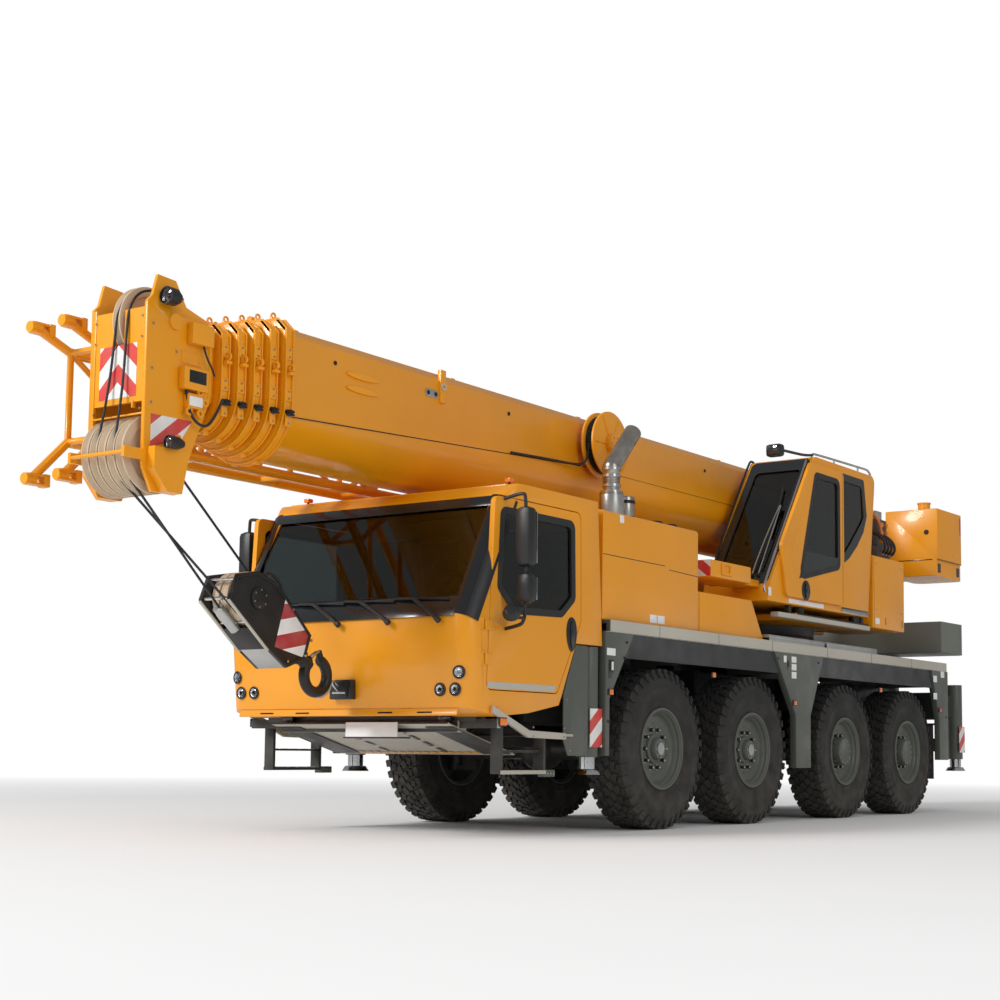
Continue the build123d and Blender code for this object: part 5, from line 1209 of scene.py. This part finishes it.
def front_gear():
    """Under the cab: rails, skid plate with a dark patch of painted shade for each slot, steps, lamps, blank
    number plate and side markers.
    """
    gear = Maker(BLACK_PAINT)
    gear.cad("front_gear", BLACK_PAINT, 0.003, choose=gear_finish)
    slope = Matrix.Translation((3.13, 0.0, 0.7345)) @ Matrix.Rotation(-math.atan2(0.192, 0.72), 4, "Y")
    # the skid plate's slot openings are dark patches of painted shade
    painted_slot_shades = [(x - 0.055, x + 0.055, y - 0.022, y + 0.022, -0.0085, -0.0055, TRIM, 0.001)
             for x in (-0.28, -0.1, 0.08, 0.26) for y in (0.3, 0.66)]
    gear.blocks([*painted_slot_shades, (-0.385, 0.385, 0.64, 0.912, -0.0095, -0.0055, BLACK_PAINT, 0.001)], BOTH, slope)
    teeth = [-0.595 + i * 0.085 for i in range(15)]
    gear.blocks([(-0.376, -0.34, y - 0.028, y + 0.028, -0.0095, -0.0055, YELLOW, 0.001) for y in teeth],
                place=slope)
    gear.blocks([
        (3.3, 3.43, -1.06, 1.06, 0.868, 0.961, BLACK_PAINT, 0.008),
        (3.44, 3.562, -0.13, 0.45, 0.74, 0.752, BLACK_PAINT, 0.003),
    ])
    gear.plate(rectangle(-0.1, 0.42, 0.752, 0.864), "YZ", 3.562, 3.568, WHITE, 0.002)
    gear.blocks([
        (2.718, 3.312, 1.209, 1.213, 0.478, 0.507, BEIGE, 0.001),
        (2.75, 3.29, 1.108, 1.178, 0.64, 0.655, BLACK_PAINT, 0.004),
        (2.56, 2.716, 1.13, 1.19, 0.455, 0.51, GREY, 0.006),
        (3.33, 3.412, 1.2695, 1.282, 0.84, 0.892, ORANGE_LENS, 0.008),
        (3.322, 3.42, 1.266, 1.274, 0.832, 0.9, PLASTIC, 0.004),
        (3.4, 3.43, 0.77, 0.83, 0.852, 0.88, PLASTIC, 0.004),
        *((x - 0.03, x + 0.03, 1.122, 1.196, 0.505, 0.5085, ALUMINIUM, 0.001)
          for x in (2.76, 2.86, 2.96, 3.06, 3.16, 3.26)),
        *((x - 0.025, x + 0.025, 1.115, 1.172, 0.655, 0.658, ALUMINIUM, 0.001)
          for x in (2.78, 2.9, 3.02, 3.14, 3.26)),
    ], BOTH)
    # columns: x, y, z, head radius; all heads are 6 mm high
    heads = [(x, 1.19, 0.482, 0.008) for x in (2.59, 2.63, 2.67)]
    heads += [(x, 1.23, z, 0.009) for x, z in ((2.47, 1.06), (2.47, 0.78), (2.42, 0.66))]
    heads += [(x, 1.27, z, 0.008) for x in (2.56, 2.98) for z in (0.835, 0.765)]
    for side in BOTH:
        for x, y, z, radius in heads:
            gear.bolts([(x, side * y, z)], (0, side, 0), STEEL, radius, 0.006)
        # fog lamp below the cab's corner
        lamp = (3.425, side * 0.8, 0.91)
        gear.lathe([(0.0, 0.0), (0.05, 0.0), (0.062, 0.03), (0.062, 0.055), (0.054, 0.058), (0.0, 0.056)],
                   lamp, AHEAD, PLASTIC, 28)
        gear.lathe([(0.0, 0.0565), (0.053, 0.0585), (0.03, 0.066), (0.0, 0.069)], lamp, AHEAD, LENS, 28)
        for y, sag in ((0.58, 0.1), (0.46, 0.14)):
            gear.tube([(2.75, side * y, 0.86), (2.9, side * y, 0.86 - sag),
                       (3.1, side * (y - 0.04), 0.86 - sag),
                       (3.3, side * (y - 0.08), 0.875)], 0.014, PLASTIC)
    gear.piece("front_gear_dressed", "carrier", ["front_gear"])

    corner = Maker(ORANGE_LENS)
    corner.blocks([(3.415, 3.5, CAB_HALF + 0.0005, CAB_HALF + 0.014, 0.92, 0.978, ORANGE_LENS, 0.006)], BOTH)
    corner.piece("cab_corner_markers", "carrier")


def deck_finish(centre, normal):
    """Pale side rails, dark skirts, grey struts and deck."""
    if abs(centre.y) > 1.2375 and centre.z > RAIL_FOOT - 0.002:
        return BEIGE
    if 1.2235 < abs(centre.y) < 1.2405 and abs(normal.y) > 0.7:
        return PLASTIC
    return GREY


def deck():
    """Deck, rails, skirts and struts, with markers, blank plates, walkway plates and reflectors."""
    trim = Maker(GREY)
    trim.cad("deck_and_fenders", GREY, 0.003, choose=deck_finish)
    face = DECK_FACE
    rows = []
    for x0, x1 in ((-2.2, -0.98), (-3.52, -2.26)):
        rows += [(x0, x1, 1.06, face, 1.762, 1.792, ALUMINIUM, 0.004),
                 (x0, x1, 1.248, face, 1.735, 1.765, ALUMINIUM, 0.003)]
        count = int((x1 - x0) / 0.06)
        for i in range(count):
            x = x0 + 0.03 + i * (x1 - x0 - 0.06) / (count - 1)
            rows.append((x - 0.016, x + 0.016, 1.075, 1.245, 1.792, 1.7955, ALUMINIUM, 0.001))
    # columns: x, z, the wall it sits on, lens
    for x, z, wall, lens in (
            (1.877, 1.14, face, ORANGE_LENS), (0.107, 1.356, FENDER_FACE, ORANGE_LENS),
            (-3.636, 1.354, FENDER_FACE, ORANGE_LENS), (-1.496, 1.15, face, ORANGE_LENS),
            (-5.3, 1.18, face, RED_LENS)):
        rows += [(x - 0.04, x + 0.04, wall - 0.001, wall + 0.01, z - 0.026, z + 0.026, PLASTIC, 0.003),
                 (x - 0.034, x + 0.022, wall + 0.008, wall + 0.014, z - 0.021, z + 0.021, lens, 0.004)]
    trim.blocks(rows + [
        # the front strut's recess as a dark plate of painted shade, with a valve handle, the middle strut's
        # slot as a dark strip of painted shade, and a mud flap
        (1.82, 1.905, face - 0.004, face + 0.003, 1.255, 1.405, TRIM, 0.004),
        (1.835, 1.862, face, face + 0.008, 1.32, 1.39, WHITE, 0.004),
        (-1.395, -1.345, face - 0.002, face + 0.0025, 1.47, 1.56, TRIM, 0.002),
        (-5.312, -5.3, 0.8, 1.18, 0.38, 1.02, RUBBER, 0.004),
    ], BOTH)
    plates = [(1.8, 1.93, 1.44, 1.5), (-1.545, -1.44, 1.545, 1.605), (-1.545, -1.44, 1.47, 1.532),
              (-1.545, -1.44, 1.39, 1.455), (-1.33, -1.27, 1.54, 1.605), (-5.23, -5.12, 1.5, 1.575),
              (-5.23, -5.12, 1.3, 1.375), (-5.46, -5.35, 1.56, 1.635)]
    heads = ((1.62, 1.56), (1.66, 1.43), (1.91, 0.9), (-2.05, 1.57), (-1.15, 1.57), (-5.5, 1.1))
    seams = [(x, RAIL_FOOT + 0.006, x, 1.732, 0.004) for x in (1.1, 0.05, -1.02, -2.25, -3.35, -4.45)]
    for side in BOTH:
        trim.labels(plates, face, side)
        trim.bolts([(x, side * face, z) for x, z in heads], (0, side, 0), DARK_STEEL, 0.011, 0.007)
        seam_lines(trim, seams, 1.27, side)
        trim.tube([(-5.306, side * 0.56, 1.015), (-5.306, side * 1.21, 1.015)], 0.012, DARK_STEEL,
                  smooth=False)
    trim.piece("deck_dressed", "carrier", ["deck_and_fenders"])

    rear = Maker(PLASTIC)
    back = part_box("rear_beam")[0].x
    # columns: distance from the middle, lens
    for y, lens in ((0.83, RED_LENS), (0.93, ORANGE_LENS), (1.03, RED_LENS), (1.12, LENS)):
        rear.blocks([(back + 0.036, back + 0.049, y - 0.044, y + 0.044, 0.735, 0.825, lens, 0.006)], BOTH)
    rear.plate(rectangle(0.13, 0.65, 0.72, 0.832), "YZ", back + 0.066, back + 0.07, WHITE, 0.001)
    rear.piece("rear_lamps", "carrier")


def outrigger_stripes():
    """Warning sheets on the outer ends of the outrigger beams."""
    for row in ROWS:
        for side_name, side in SIDES:
            node = f"outrigger_beam_{row}_{side_name}"
            low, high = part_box(node)
            face = max(abs(low.y), abs(high.y)) - 0.004
            centre = (low.x + high.x) / 2
            sheet = Maker(STRIPE_SIDE)
            sheet.labels([(centre - 0.088, centre + 0.088, 0.69, 1.0)], face, side, STRIPE_SIDE, 0.0055, 0.0)
            sheet.piece(f"stripe_{row}_{side_name}", node)


# ---------------------------------------------------------------- engine cover, exhaust and reel
def cover_details():
    """Joint lines, blank plates, caps, louvre vents as dark bars of painted shade, and lifting eyes on the
    hoods.
    """
    trim = Maker(YELLOW)
    wall = 1.215
    seams = [(1.92, 2.277, 0.922, 2.271, 0.006), (0.853, 2.243, 0.34, 2.228, 0.006),
             (0.32, 1.745, 0.32, 2.09, 0.006)]
    plates = [(1.6, 1.665, 2.565, 2.63), (0.93, 1.045, 1.76, 1.83), (1.06, 1.175, 1.76, 1.83)]
    for side in BOTH:
        seam_lines(trim, seams, wall, side)
        trim.labels(plates, wall, side, WHITE, 0.002)
        for x in (0.46, 1.78):
            trim.ring(0.016, 0.03, -0.006, 0.006, (x, side * 0.7, 2.676), LEFTWARD, STEEL)
    for x in (0.78, 0.52):
        trim.lathe([(0.0, 0.0), (0.062, 0.0), (0.062, 0.03), (0.048, 0.044), (0.0, 0.048)], (x, 1.04, 2.649),
                   UPWARD, PLASTIC, 28)
    # louvre vents in the top of the tall hood and in its front wall, drawn as dark bars of painted shade
    # where their openings are
    louvre_shade_bars = [(0.56 + i * 0.11, 0.62 + i * 0.11, -0.62, 0.25, 2.649, 2.658, TRIM, 0.003) for i in range(9)]
    louvre_shade_bars += [(1.9245, 1.93, -0.9, 0.9, 1.9 + i * 0.05, 1.925 + i * 0.05, TRIM, 0.001) for i in range(12)]
    trim.blocks(louvre_shade_bars)
    grip = ((1.87, 2.645), (1.87, 2.735), (1.8, 2.735), (1.73, 2.735), (1.73, 2.645))
    trim.tube([(x, 0.42, z) for x, z in grip], 0.012, STEEL)
    trim.piece("cover_trim", "carrier")


def exhaust_stack():
    """The stack with its clamps, heat shield and the canister beside it."""
    stack = Maker(EXHAUST)
    stack.cad("exhaust", EXHAUST, 0.0)
    x, y = 1.225, 0.85
    can_x, can_y = x - 0.19, y + 0.03
    for z, radius in ((2.905, 0.1), (2.965, 0.082), (3.05, 0.082), (3.112, 0.086)):
        stack.ring(radius - 0.02, radius, -0.012, 0.012, (x, y, z), UPWARD, STEEL, 36)
    for z in (2.985, 3.0, 3.015, 3.03):
        stack.lathe([(0.06, -0.005), (0.078, 0.0), (0.06, 0.005), (0.06, -0.005)], (x, y, z), UPWARD,
                    EXHAUST, 36)
    stack.bar((can_x, can_y, 2.651), (can_x, can_y, 2.89), 0.078, EXHAUST, steps=36, edge=0.01)
    for z in (2.7, 2.84):
        stack.ring(0.074, 0.083, -0.014, 0.014, (can_x, can_y, z), UPWARD, DARK_STEEL, 36)
    arc = [math.radians(-20 + 10 * i) for i in range(15)]
    turns = [(a, 0.112) for a in arc] + [(a, 0.108) for a in reversed(arc)]
    shield = [(x + radius * math.cos(a), y + radius * math.sin(a)) for a, radius in turns]
    stack.plate(shield, "XY", 2.665, 2.88, ALUMINIUM, 0.001)
    stack.piece("exhaust_dressed", "carrier", ["exhaust"])


def cable_reel():
    """The cable reel: yellow rimmed flanges, wound black cable between them and a ribbed hub."""
    x, z, y = 0.775, 3.43, BOOM_HALF
    reel = Maker(YELLOW)
    reel.bar((x, y + 0.0003, z), (x, y + 0.062, z), 0.06, YELLOW, steps=32)
    for start in (0.06, 0.17):
        reel.lathe([(0.0, 0.0), (0.286, 0.0), (0.292, -0.006), (0.3, 0.0), (0.3, 0.014), (0.292, 0.02),
                    (0.0, 0.02)], (x, y + start, z), LEFTWARD, YELLOW, 72)
    # columns: radius of the wound cable, shift across a turn
    turn = ((0.262, 0.0825), (0.266, 0.0865), (0.262, 0.0905), (0.254, 0.0935))
    wound = [(0.1, 0.079), (0.235, 0.079)]
    wound += [(radius, shift + i * 0.015) for i in range(6) for radius, shift in turn]
    wound += [(0.235, 0.171), (0.1, 0.171), (0.1, 0.079)]
    reel.lathe(wound, (x, y, z), LEFTWARD, PLASTIC, 72)
    reel.bar((x, y + 0.189, z), (x, y + 0.24, z), 0.09, YELLOW, 0.084, 36, 0.006)
    for start, end in zip(circle(x, y + 0.19, z, 0.085, 6), circle(x, y + 0.19, z, 0.275, 6)):
        reel.bar(start, end, 0.01, YELLOW, steps=12)
    reel.bolts(circle(x, y + 0.24, z, 0.06, 6), LEFTWARD, STEEL, 0.009, 0.007)
    # columns: ahead of the hub, off the boom, below the hub
    lead = ((0.255, 0.12, 0.02), (0.26, 0.11, 0.2), (0.38, 0.06, 0.23), (0.7, 0.018, 0.225),
            (1.3, 0.012, 0.255))
    reel.tube([(x + ahead, y + off, z - below) for ahead, off, below in lead], 0.01, PLASTIC)
    reel.piece("cable_reel_dressed", BODY_OF["cable_reel"], ["cable_reel"])


# ---------------------------------------------------------------- crane cab
CAB_OUT = 1.205
CAB_IN = 0.475
CAB_MIDDLE = 0.84
CRANE_SCREEN = slope_place(Vector((-1.095, CAB_MIDDLE, 2.3)), Vector((-2.11, CAB_MIDDLE, 3.7)))
CRANE_WINDOW = [(-1.648, 2.372), (-2.037, 3.528), (-2.636, 3.528), (-2.636, 2.575)]
INNER_WINDOW = [(-1.5, 2.64), (-2.04, 3.48), (-3.4, 3.48), (-3.35, 2.64)]
REAR_WINDOW = [(-2.722, 2.625), (-2.722, 3.622), (-3.335, 3.622), (-3.408, 3.235), (-3.318, 3.05),
               (-3.15, 2.88), (-2.94, 2.725)]
REAR_PANE = [(-2.79, 2.745), (-2.79, 3.54), (-3.285, 3.54), (-3.325, 3.215), (-3.262, 3.142), (-3.12, 3.014),
             (-2.96, 2.874)]


def crane_cab_outside():
    """The operator's cab: window borders, wipers, handrails, roof rail, lamp, sill and blank labels."""
    body = "superstructure"
    trim = Maker(TRIM)
    trim.frame(soft_rectangle(-0.335, 0.335, 0.0, 1.705, 0.06),
               soft_rectangle(-0.258, 0.268, 0.12, 1.56, 0.05),
               "XY", 0.0005, 0.005, TRIM, 0.001, CRANE_SCREEN)
    trim.frame(soft_rectangle(-0.262, 0.272, 0.116, 1.564, 0.05),
               soft_rectangle(-0.25, 0.26, 0.13, 1.55, 0.044),
               "XY", -0.004, 0.008, PLASTIC, 0.002, CRANE_SCREEN)
    # flush with the wall, for the door slides over it
    trim.frame(soft_corners(REAR_WINDOW, 0.03), soft_corners(REAR_PANE, 0.03), "XZ", CAB_OUT - 0.004,
               CAB_OUT + 0.0003, TRIM, 0.0)
    trim.frame(soft_corners(inset(INNER_WINDOW, -0.022), 0.07),
               soft_corners(inset(INNER_WINDOW, 0.02), 0.05), "XZ",
               CAB_IN - 0.003, CAB_IN + 0.0005, PLASTIC, 0.001)
    trim.plate([(-2.135, 3.6985), (-2.2, 3.704), (-3.52, 3.704), (-3.52, 3.6985)], "XZ", 0.52, 1.16, TRIM,
               0.001)
    trim.piece("crane_cab_borders", body)

    wipers = Maker(STEEL)
    for foot, lean in ((0.14, 0.0), (0.21, 0.012)):
        arm = on(CRANE_SCREEN, (foot, 0.12, 0.012), (foot + 0.01, 0.5, 0.04), (0.19 + lean, 1.02, 0.034))
        wipers.tube(arm, 0.008, STEEL)
        wipers.bar(*on(CRANE_SCREEN, (foot, 0.105, -0.002), (foot, 0.105, 0.026)), 0.019, DARK_STEEL, 0.016,
                   20, 0.003)
    wipers.tube(on(CRANE_SCREEN, (0.14, 1.3, 0.014), (0.176, 0.96, 0.018), (0.2, 0.62, 0.014)), 0.009,
                PLASTIC)
    wipers.tube(on(CRANE_SCREEN, (0.192, 1.02, 0.03), (0.176, 0.96, 0.022)), 0.01, STEEL, smooth=False)
    wipers.piece("crane_cab_wipers", body)

    rails = Maker(STEEL)
    rails.tube([(-2.085, 1.11, 3.64), (-2.06, 1.135, 3.667), (-2.02, 1.15, 3.628), (-1.04, 1.185, 2.33),
                (-0.99, 1.19, 2.24), (-1.03, 1.186, 2.215)], 0.012, STEEL)
    rails.tube([(-2.13, 0.5, 3.69), (-2.115, 0.48, 3.722), (-2.06, 0.47, 3.68), (-1.32, 0.495, 2.64),
                (-1.29, 0.5, 2.58), (-1.32, 0.505, 2.56)], 0.012, PLASTIC)
    roof = ((-2.165, 3.69), (-2.165, 3.735), (-2.23, 3.748), (-3.44, 3.77), (-3.56, 3.77), (-3.645, 3.735),
            (-3.652, 3.6), (-3.648, 3.47), (-3.605, 3.46))
    rails.tube([(x, 1.15, z) for x, z in roof], 0.012, STEEL)
    for x, z in ((-2.7, 3.756), (-3.3, 3.768)):
        rails.bar((x, 1.15, 3.695), (x, 1.15, z), 0.01, STEEL, steps=16)
    rails.tube([(-2.165, 1.15, 3.725), (-2.02, 1.15, 3.7), (-1.78, 1.152, 3.685), (-1.33, 1.156, 3.664)],
               0.014, PLASTIC)
    rails.blocks([
        (-1.345, -1.245, 1.08, 1.255, 3.575, 3.7, PLASTIC, 0.03),
        (-1.249, -1.24, 1.1, 1.235, 3.592, 3.683, LENS, 0.004),
    ])
    rails.bar((-1.33, 1.156, 3.64), (-1.33, 1.156, 3.69), 0.022, PLASTIC, steps=20, edge=0.003)
    rails.piece("crane_cab_rails", body)

    sill = Maker(BEIGE)
    treads = [-1.76 - i * 0.058 for i in range(13)]
    sill.blocks([
        (-3.48, -1.29, 1.11, 1.2, 1.99, 2.04, BEIGE, 0.006),
        (-3.4, -2.74, 1.206, 1.216, 2.136, 2.176, STEEL, 0.003),
        (-3.4, -2.74, 1.206, 1.211, 2.177, 2.192, TRIM, 0.001),
        *((x - 0.03, x + 0.03, 1.11, 1.16, 2.036, 2.131, BLACK_PAINT, 0.004) for x in (-1.62, -3.36)),
        *((x - 0.023, x + 0.023, 1.14, 1.185, 2.039, 2.0435, ALUMINIUM, 0.001) for x in treads),
    ])
    sill.labels([(-2.3, -1.5, 2.142, 2.184)], CAB_OUT, 1, WHITE, 0.0015, 0.0)
    sill.labels([(-1.12, -1.06, 2.18, 2.26)], CAB_OUT, 1, WHITE, 0.002, 0.0)
    sill.piece("crane_cab_sill", body)


def crane_cab_door():
    """The sliding door with its pane, rubber, recessed handle and the dark foot of its glazed field."""
    node = "crane_cab_door"
    door = Maker(YELLOW)
    wall = CAB_OUT + 0.0365
    door.cad(node, YELLOW, 0.004, keep=lambda low, high: high.y - low.y > 0.02)
    corner = [(-1.45, 2.59), (-2.02, 3.52), (-2.075, 3.52), (-1.69, 2.4)]
    foot = [(-1.665, 2.395), (-1.79, 2.69), (-2.615, 2.69), (-2.615, 2.59)]
    # columns: outline, from and to off the wall, finish, edge rounding
    for outline, low, high, used, edge in (
            (corner, -0.006, 0.001, YELLOW, 0.0),
            (foot, -0.006, 0.0015, TRIM, 0.0),
            (oval(-1.815, 2.287, 0.19, 0.205), -0.004, 0.004, PLASTIC, 0.003),
            (oval(-1.815, 2.287, 0.06, 0.15), 0.0, 0.018, TRIM, 0.006)):
        door.plate(outline, "XZ", wall + low, wall + high, used, edge)
    door.frame(soft_corners(CRANE_WINDOW, 0.085), soft_corners(inset(CRANE_WINDOW, 0.056), 0.05), "XZ",
               wall - 0.02, wall + 0.004, PLASTIC, 0.002)
    seam_lines(door, [(-2.7, 2.215, -2.7, 3.6, 0.004)], wall, 1)
    door.piece("crane_door_panel", node, [node])
    pane = Maker(GLASS)
    pane.cad(node, GLASS, 0.0, keep=lambda low, high: high.y - low.y < 0.02)
    pane.piece("crane_door_pane", node)


def crane_cab_inside():
    """The operator's seat between two armrests with levers, a screen on its post and two pedals."""
    room = Maker(PLASTIC)
    for y in (0.56, 1.12):
        arm = [(-1.96, 2.64), (-2.62, 2.64), (-2.62, 2.765), (-2.2, 2.79), (-1.96, 2.74)]
        room.plate(soft_corners(arm, 0.03), "XZ", y - 0.045, y + 0.045, PLASTIC, 0.01)
        room.blocks([(-2.56, -2.48, y - 0.025, y + 0.025, 2.45, 2.65, PLASTIC, 0.008)])
        room.bar((-2.08, y, 2.76), (-2.065, y, 2.86), 0.01, PLASTIC, steps=16)
        room.lathe([(0.0, 0.0), (0.018, 0.004), (0.026, 0.04), (0.02, 0.075), (0.0, 0.084)],
                   (-2.065, y, 2.85), UPWARD, PLASTIC, 20)
    hinge = Vector((-1.62, 0.68, 2.76))
    tipped = Matrix.Translation(hinge) @ spun(-24, "Y") @ Matrix.Translation(-hinge)
    room.blocks([(-1.64, -1.605, 0.59, 0.78, 2.66, 2.86, PLASTIC, 0.01)], place=tipped)
    room.bar((-1.62, 0.68, 2.166), (-1.64, 0.68, 2.7), 0.022, PLASTIC, steps=16)
    room.blocks([
        (-2.9, -2.32, 0.7, 0.98, 2.166, 2.5, PLASTIC, 0.02),
        (-1.38, -1.3, 0.72, 0.8, 2.168, 2.33, PLASTIC, 0.008),
        (-1.38, -1.3, 0.88, 0.96, 2.168, 2.33, PLASTIC, 0.008),
    ])
    room.piece("crane_cab_room", "superstructure", ["crane_cab_interior"])
    cushion("crane_seat", (0.52, 0.48, 0.12), (-2.52, CAB_MIDDLE, 2.56), "superstructure")
    cushion("crane_backrest", (0.7, 0.46, 0.105), (-2.86, CAB_MIDDLE, 2.965), "superstructure", 78)


# ---------------------------------------------------------------- housings, tail weights, winch and jib
def housing_details():
    """The striped front plate, the raised pad, joint lines, bolts and blank labels on the housings."""
    trim = Maker(YELLOW)
    wall = 1.215
    trim.plate(rectangle(0.77, 1.19, 2.268, 2.415), "YZ", 0.06, 0.0615, STRIPE_FRONT, 0.0)
    trim.frame(soft_rectangle(-0.33, -0.13, 2.292, 2.405, 0.02),
               soft_rectangle(-0.29, -0.165, 2.315, 2.385, 0.012), "XZ", 1.195, 1.21, YELLOW, 0.003)
    trim.labels([(-3.7, -3.59, 2.075, 2.14)], wall, 1, WHITE, 0.002, 0.0)
    seam_lines(trim, [(-3.87, 2.08, -3.87, 2.16, 0.014), (-4.33, 2.08, -4.33, 2.16, 0.014),
                      (-3.56, 2.036, -3.56, 2.8, 0.004)], wall, 1)
    trim.bolts([(x, wall, z) for x in (-3.62, -4.31) for z in (2.74, 2.23)], LEFTWARD, STEEL, 0.01, 0.006)
    for x in (-1.9, -2.7, -3.5):
        seam_lines(trim, [(x, 2.07, x, 2.6, 0.005)], 1.195, -1)
        trim.blocks([(x + 0.3, x + 0.42, 1.196, 1.202, 2.5, 2.54, TRIM, 0.002)], (-1,))
    trim.piece("housing_trim", "superstructure")


def hydraulic_block():
    """The valve block on the left housing with its fittings, accumulator and hoses."""
    block = Maker(IRON)
    block.blocks([
        (-4.33, -4.0, 0.78, 1.08, 2.828, 2.99, IRON, 0.012),
        (-4.29, -4.04, 0.82, 1.06, 2.985, 3.3, IRON, 0.014),
        (-4.25, -4.08, 0.86, 1.02, 3.296, 3.4, ALUMINIUM, 0.01),
    ])
    for z in (3.05, 3.14, 3.23):
        for x in (-4.23, -4.1):
            block.bar((x, 1.058, z), (x, 1.092, z), 0.026, ORANGE_HOSE, steps=16, edge=0.003)
    block.tube([(-4.06, 1.08, 3.14), (-3.96, 1.14, 3.2), (-3.9, 1.06, 3.36), (-4.0, 0.86, 3.42),
                (-4.16, 0.64, 3.3)], 0.018, ORANGE_HOSE)
    # columns: shift along the machine, y, z
    hose = ((0.0, 1.1, 2.9), (0.02, 1.16, 2.92), (0.06, 1.17, 3.03), (0.08, 1.06, 3.13),
            (0.06, 0.9, 3.17), (-0.06, 0.7, 3.12), (-0.14, 0.56, 2.99))
    for i in range(4):
        x = -4.3 + i * 0.085
        block.bar((x, 0.93, 2.985), (x, 0.93, 3.13 + 0.015 * (i % 2)), 0.026, IRON, steps=16, edge=0.003)
        block.bar((x, 1.07, 2.9), (x, 1.12, 2.9), 0.02, STEEL, steps=12)
        block.tube([(x + shift, y, z) for shift, y, z in hose], 0.015, PLASTIC)
    block.lathe([(0.0, 0.0), (0.075, 0.0), (0.09, 0.03), (0.09, 0.12), (0.07, 0.15), (0.0, 0.155)],
                (-3.86, 0.93, 2.829), UPWARD, PLASTIC, 32)
    block.tube([(-3.86, 0.93, 2.97), (-3.87, 0.9, 3.08), (-3.98, 0.8, 3.13), (-4.08, 0.64, 3.08),
                (-4.12, 0.54, 2.96)], 0.022, ORANGE_HOSE)
    block.piece("hydraulic_block", "superstructure")


def tail_details():
    """Lifting pegs' rings, hand holes as dark plates of painted shade, lamps, the red marker and the joint
    between the two tail blocks.
    """
    trim = Maker(YELLOW)
    trim.blocks([
        (-6.182, -6.15, 1.213, 1.219, 3.33, 3.54, RED_LENS, 0.001),
        (-6.312, -6.294, 0.66, 1.04, 3.28, 3.46, RED_LENS, 0.004),
        (-6.311, -6.294, 0.68, 0.9, 3.02, 3.09, RED_LENS, 0.004),
        (-5.43, -5.421, 0.62, 1.15, 2.965, 2.975, TRIM, 0.001),
    ], BOTH)
    for side in BOTH:
        y = side * 0.88
        seam_lines(trim, [(-6.18, 2.97, -5.43, 2.97, 0.01)], 1.2155, side)
        trim.ring(0.072, 0.086, 0.0, 0.012, (-5.86, y, 3.578), UPWARD, YELLOW, 32)
        trim.lathe([(0.0, 0.0), (0.074, 0.0), (0.074, 0.06), (0.082, 0.066), (0.082, 0.08), (0.0, 0.086)],
                   (-5.86, y, 3.638), UPWARD, YELLOW, 32)
        # hand holes on the side wall, drawn as dark plates of painted shade
        for x in (-6.11, -5.51):
            painted_shade_hole = soft_rectangle(x - 0.045, x + 0.045, 2.815, 2.925, 0.014)
            trim.plate(painted_shade_hole, "XZ", side * 1.2005, side * 1.2025, TRIM, 0.0)
        trim.bar((-5.425, side * 1.08, 3.3), (-5.419, side * 1.08, 3.3), 0.03, TRIM, steps=24)
        # a hand hole on the rear face, also a dark plate of painted shade
        painted_shade_hole = soft_rectangle(side * 0.66 - 0.05, side * 0.66 + 0.05, 2.81, 2.93, 0.014)
        trim.plate(painted_shade_hole, "YZ", -5.4245, -5.4225, TRIM, 0.0)
    trim.piece("tail_trim", "superstructure")


def winch():
    """The hoist winch with flanges, a drum wound full of rope, and motor caps."""
    x, z = -5.7, 3.01
    drum = Maker(YELLOW)
    for side in BOTH:
        out = (0, side, 0)
        drum.lathe([(0.11, 0.0), (0.262, 0.0), (0.275, 0.006), (0.275, 0.03), (0.262, 0.024), (0.15, 0.014),
                    (0.11, 0.02), (0.11, 0.0)], (x, side * 0.25, z), out, YELLOW, 64)
        drum.bar((x, side * 0.25, z), (x, side * 0.372, z), 0.106, YELLOW, steps=40, edge=0.006)
        drum.bolts(circle(x, side * 0.266, z, 0.13, 8), out, STEEL, 0.012, 0.01)
    # columns: radius of the wound rope, shift across a turn
    turn = ((0.226, -0.0085), (0.234, 0.0), (0.226, 0.0085))
    wound = [(0.1, -0.249), (0.2, -0.249)]
    wound += [(radius, shift - 0.24 + i * 0.0192) for i in range(26) for radius, shift in turn]
    wound += [(0.2, 0.249), (0.1, 0.249), (0.1, -0.249)]
    drum.lathe(wound, (x, 0.0, z), LEFTWARD, ROPE, 64)
    drum.piece("winch_dressed", BODY_OF["hoist_winch"], ["hoist_winch"])


def jib_details():
    """Forked ends with their pads at the jib's tip, and bushed pins at its foot."""
    trim = Maker(YELLOW)
    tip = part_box("lattice_jib")[1].x
    for y in (-0.64, -0.98):
        for z in (3.6, 2.52):
            trim.blocks([(tip - 0.2, tip - 0.15, y - 0.04, y + 0.04, z - 0.046, z + 0.046, YELLOW, 0.006)])
            prong = soft_rectangle(tip - 0.17, tip - 0.004, y - 0.036, y + 0.036, 0.03)
            for rise in (-0.04, 0.022):
                trim.plate(prong, "XY", z + rise, z + rise + 0.018, YELLOW, 0.003)
        for z in (2.83, 3.48):
            trim.bar((5.02, y, z), (5.09, y, z), 0.04, YELLOW, steps=24, edge=0.004)
    trim.piece("jib_trim", "boom_base")


for build in (camera, studio, wheels, dressed_nodes, driver_cab, driver_doors, driver_interior,
              front_gear, deck, outrigger_stripes, cover_details, exhaust_stack, cable_reel,
              crane_cab_outside, crane_cab_door, crane_cab_inside, housing_details, hydraulic_block,
              tail_details, winch, jib_details, hook_block, boom_collars, boom_side, boom_head_details,
              head_sheaves):
    build()
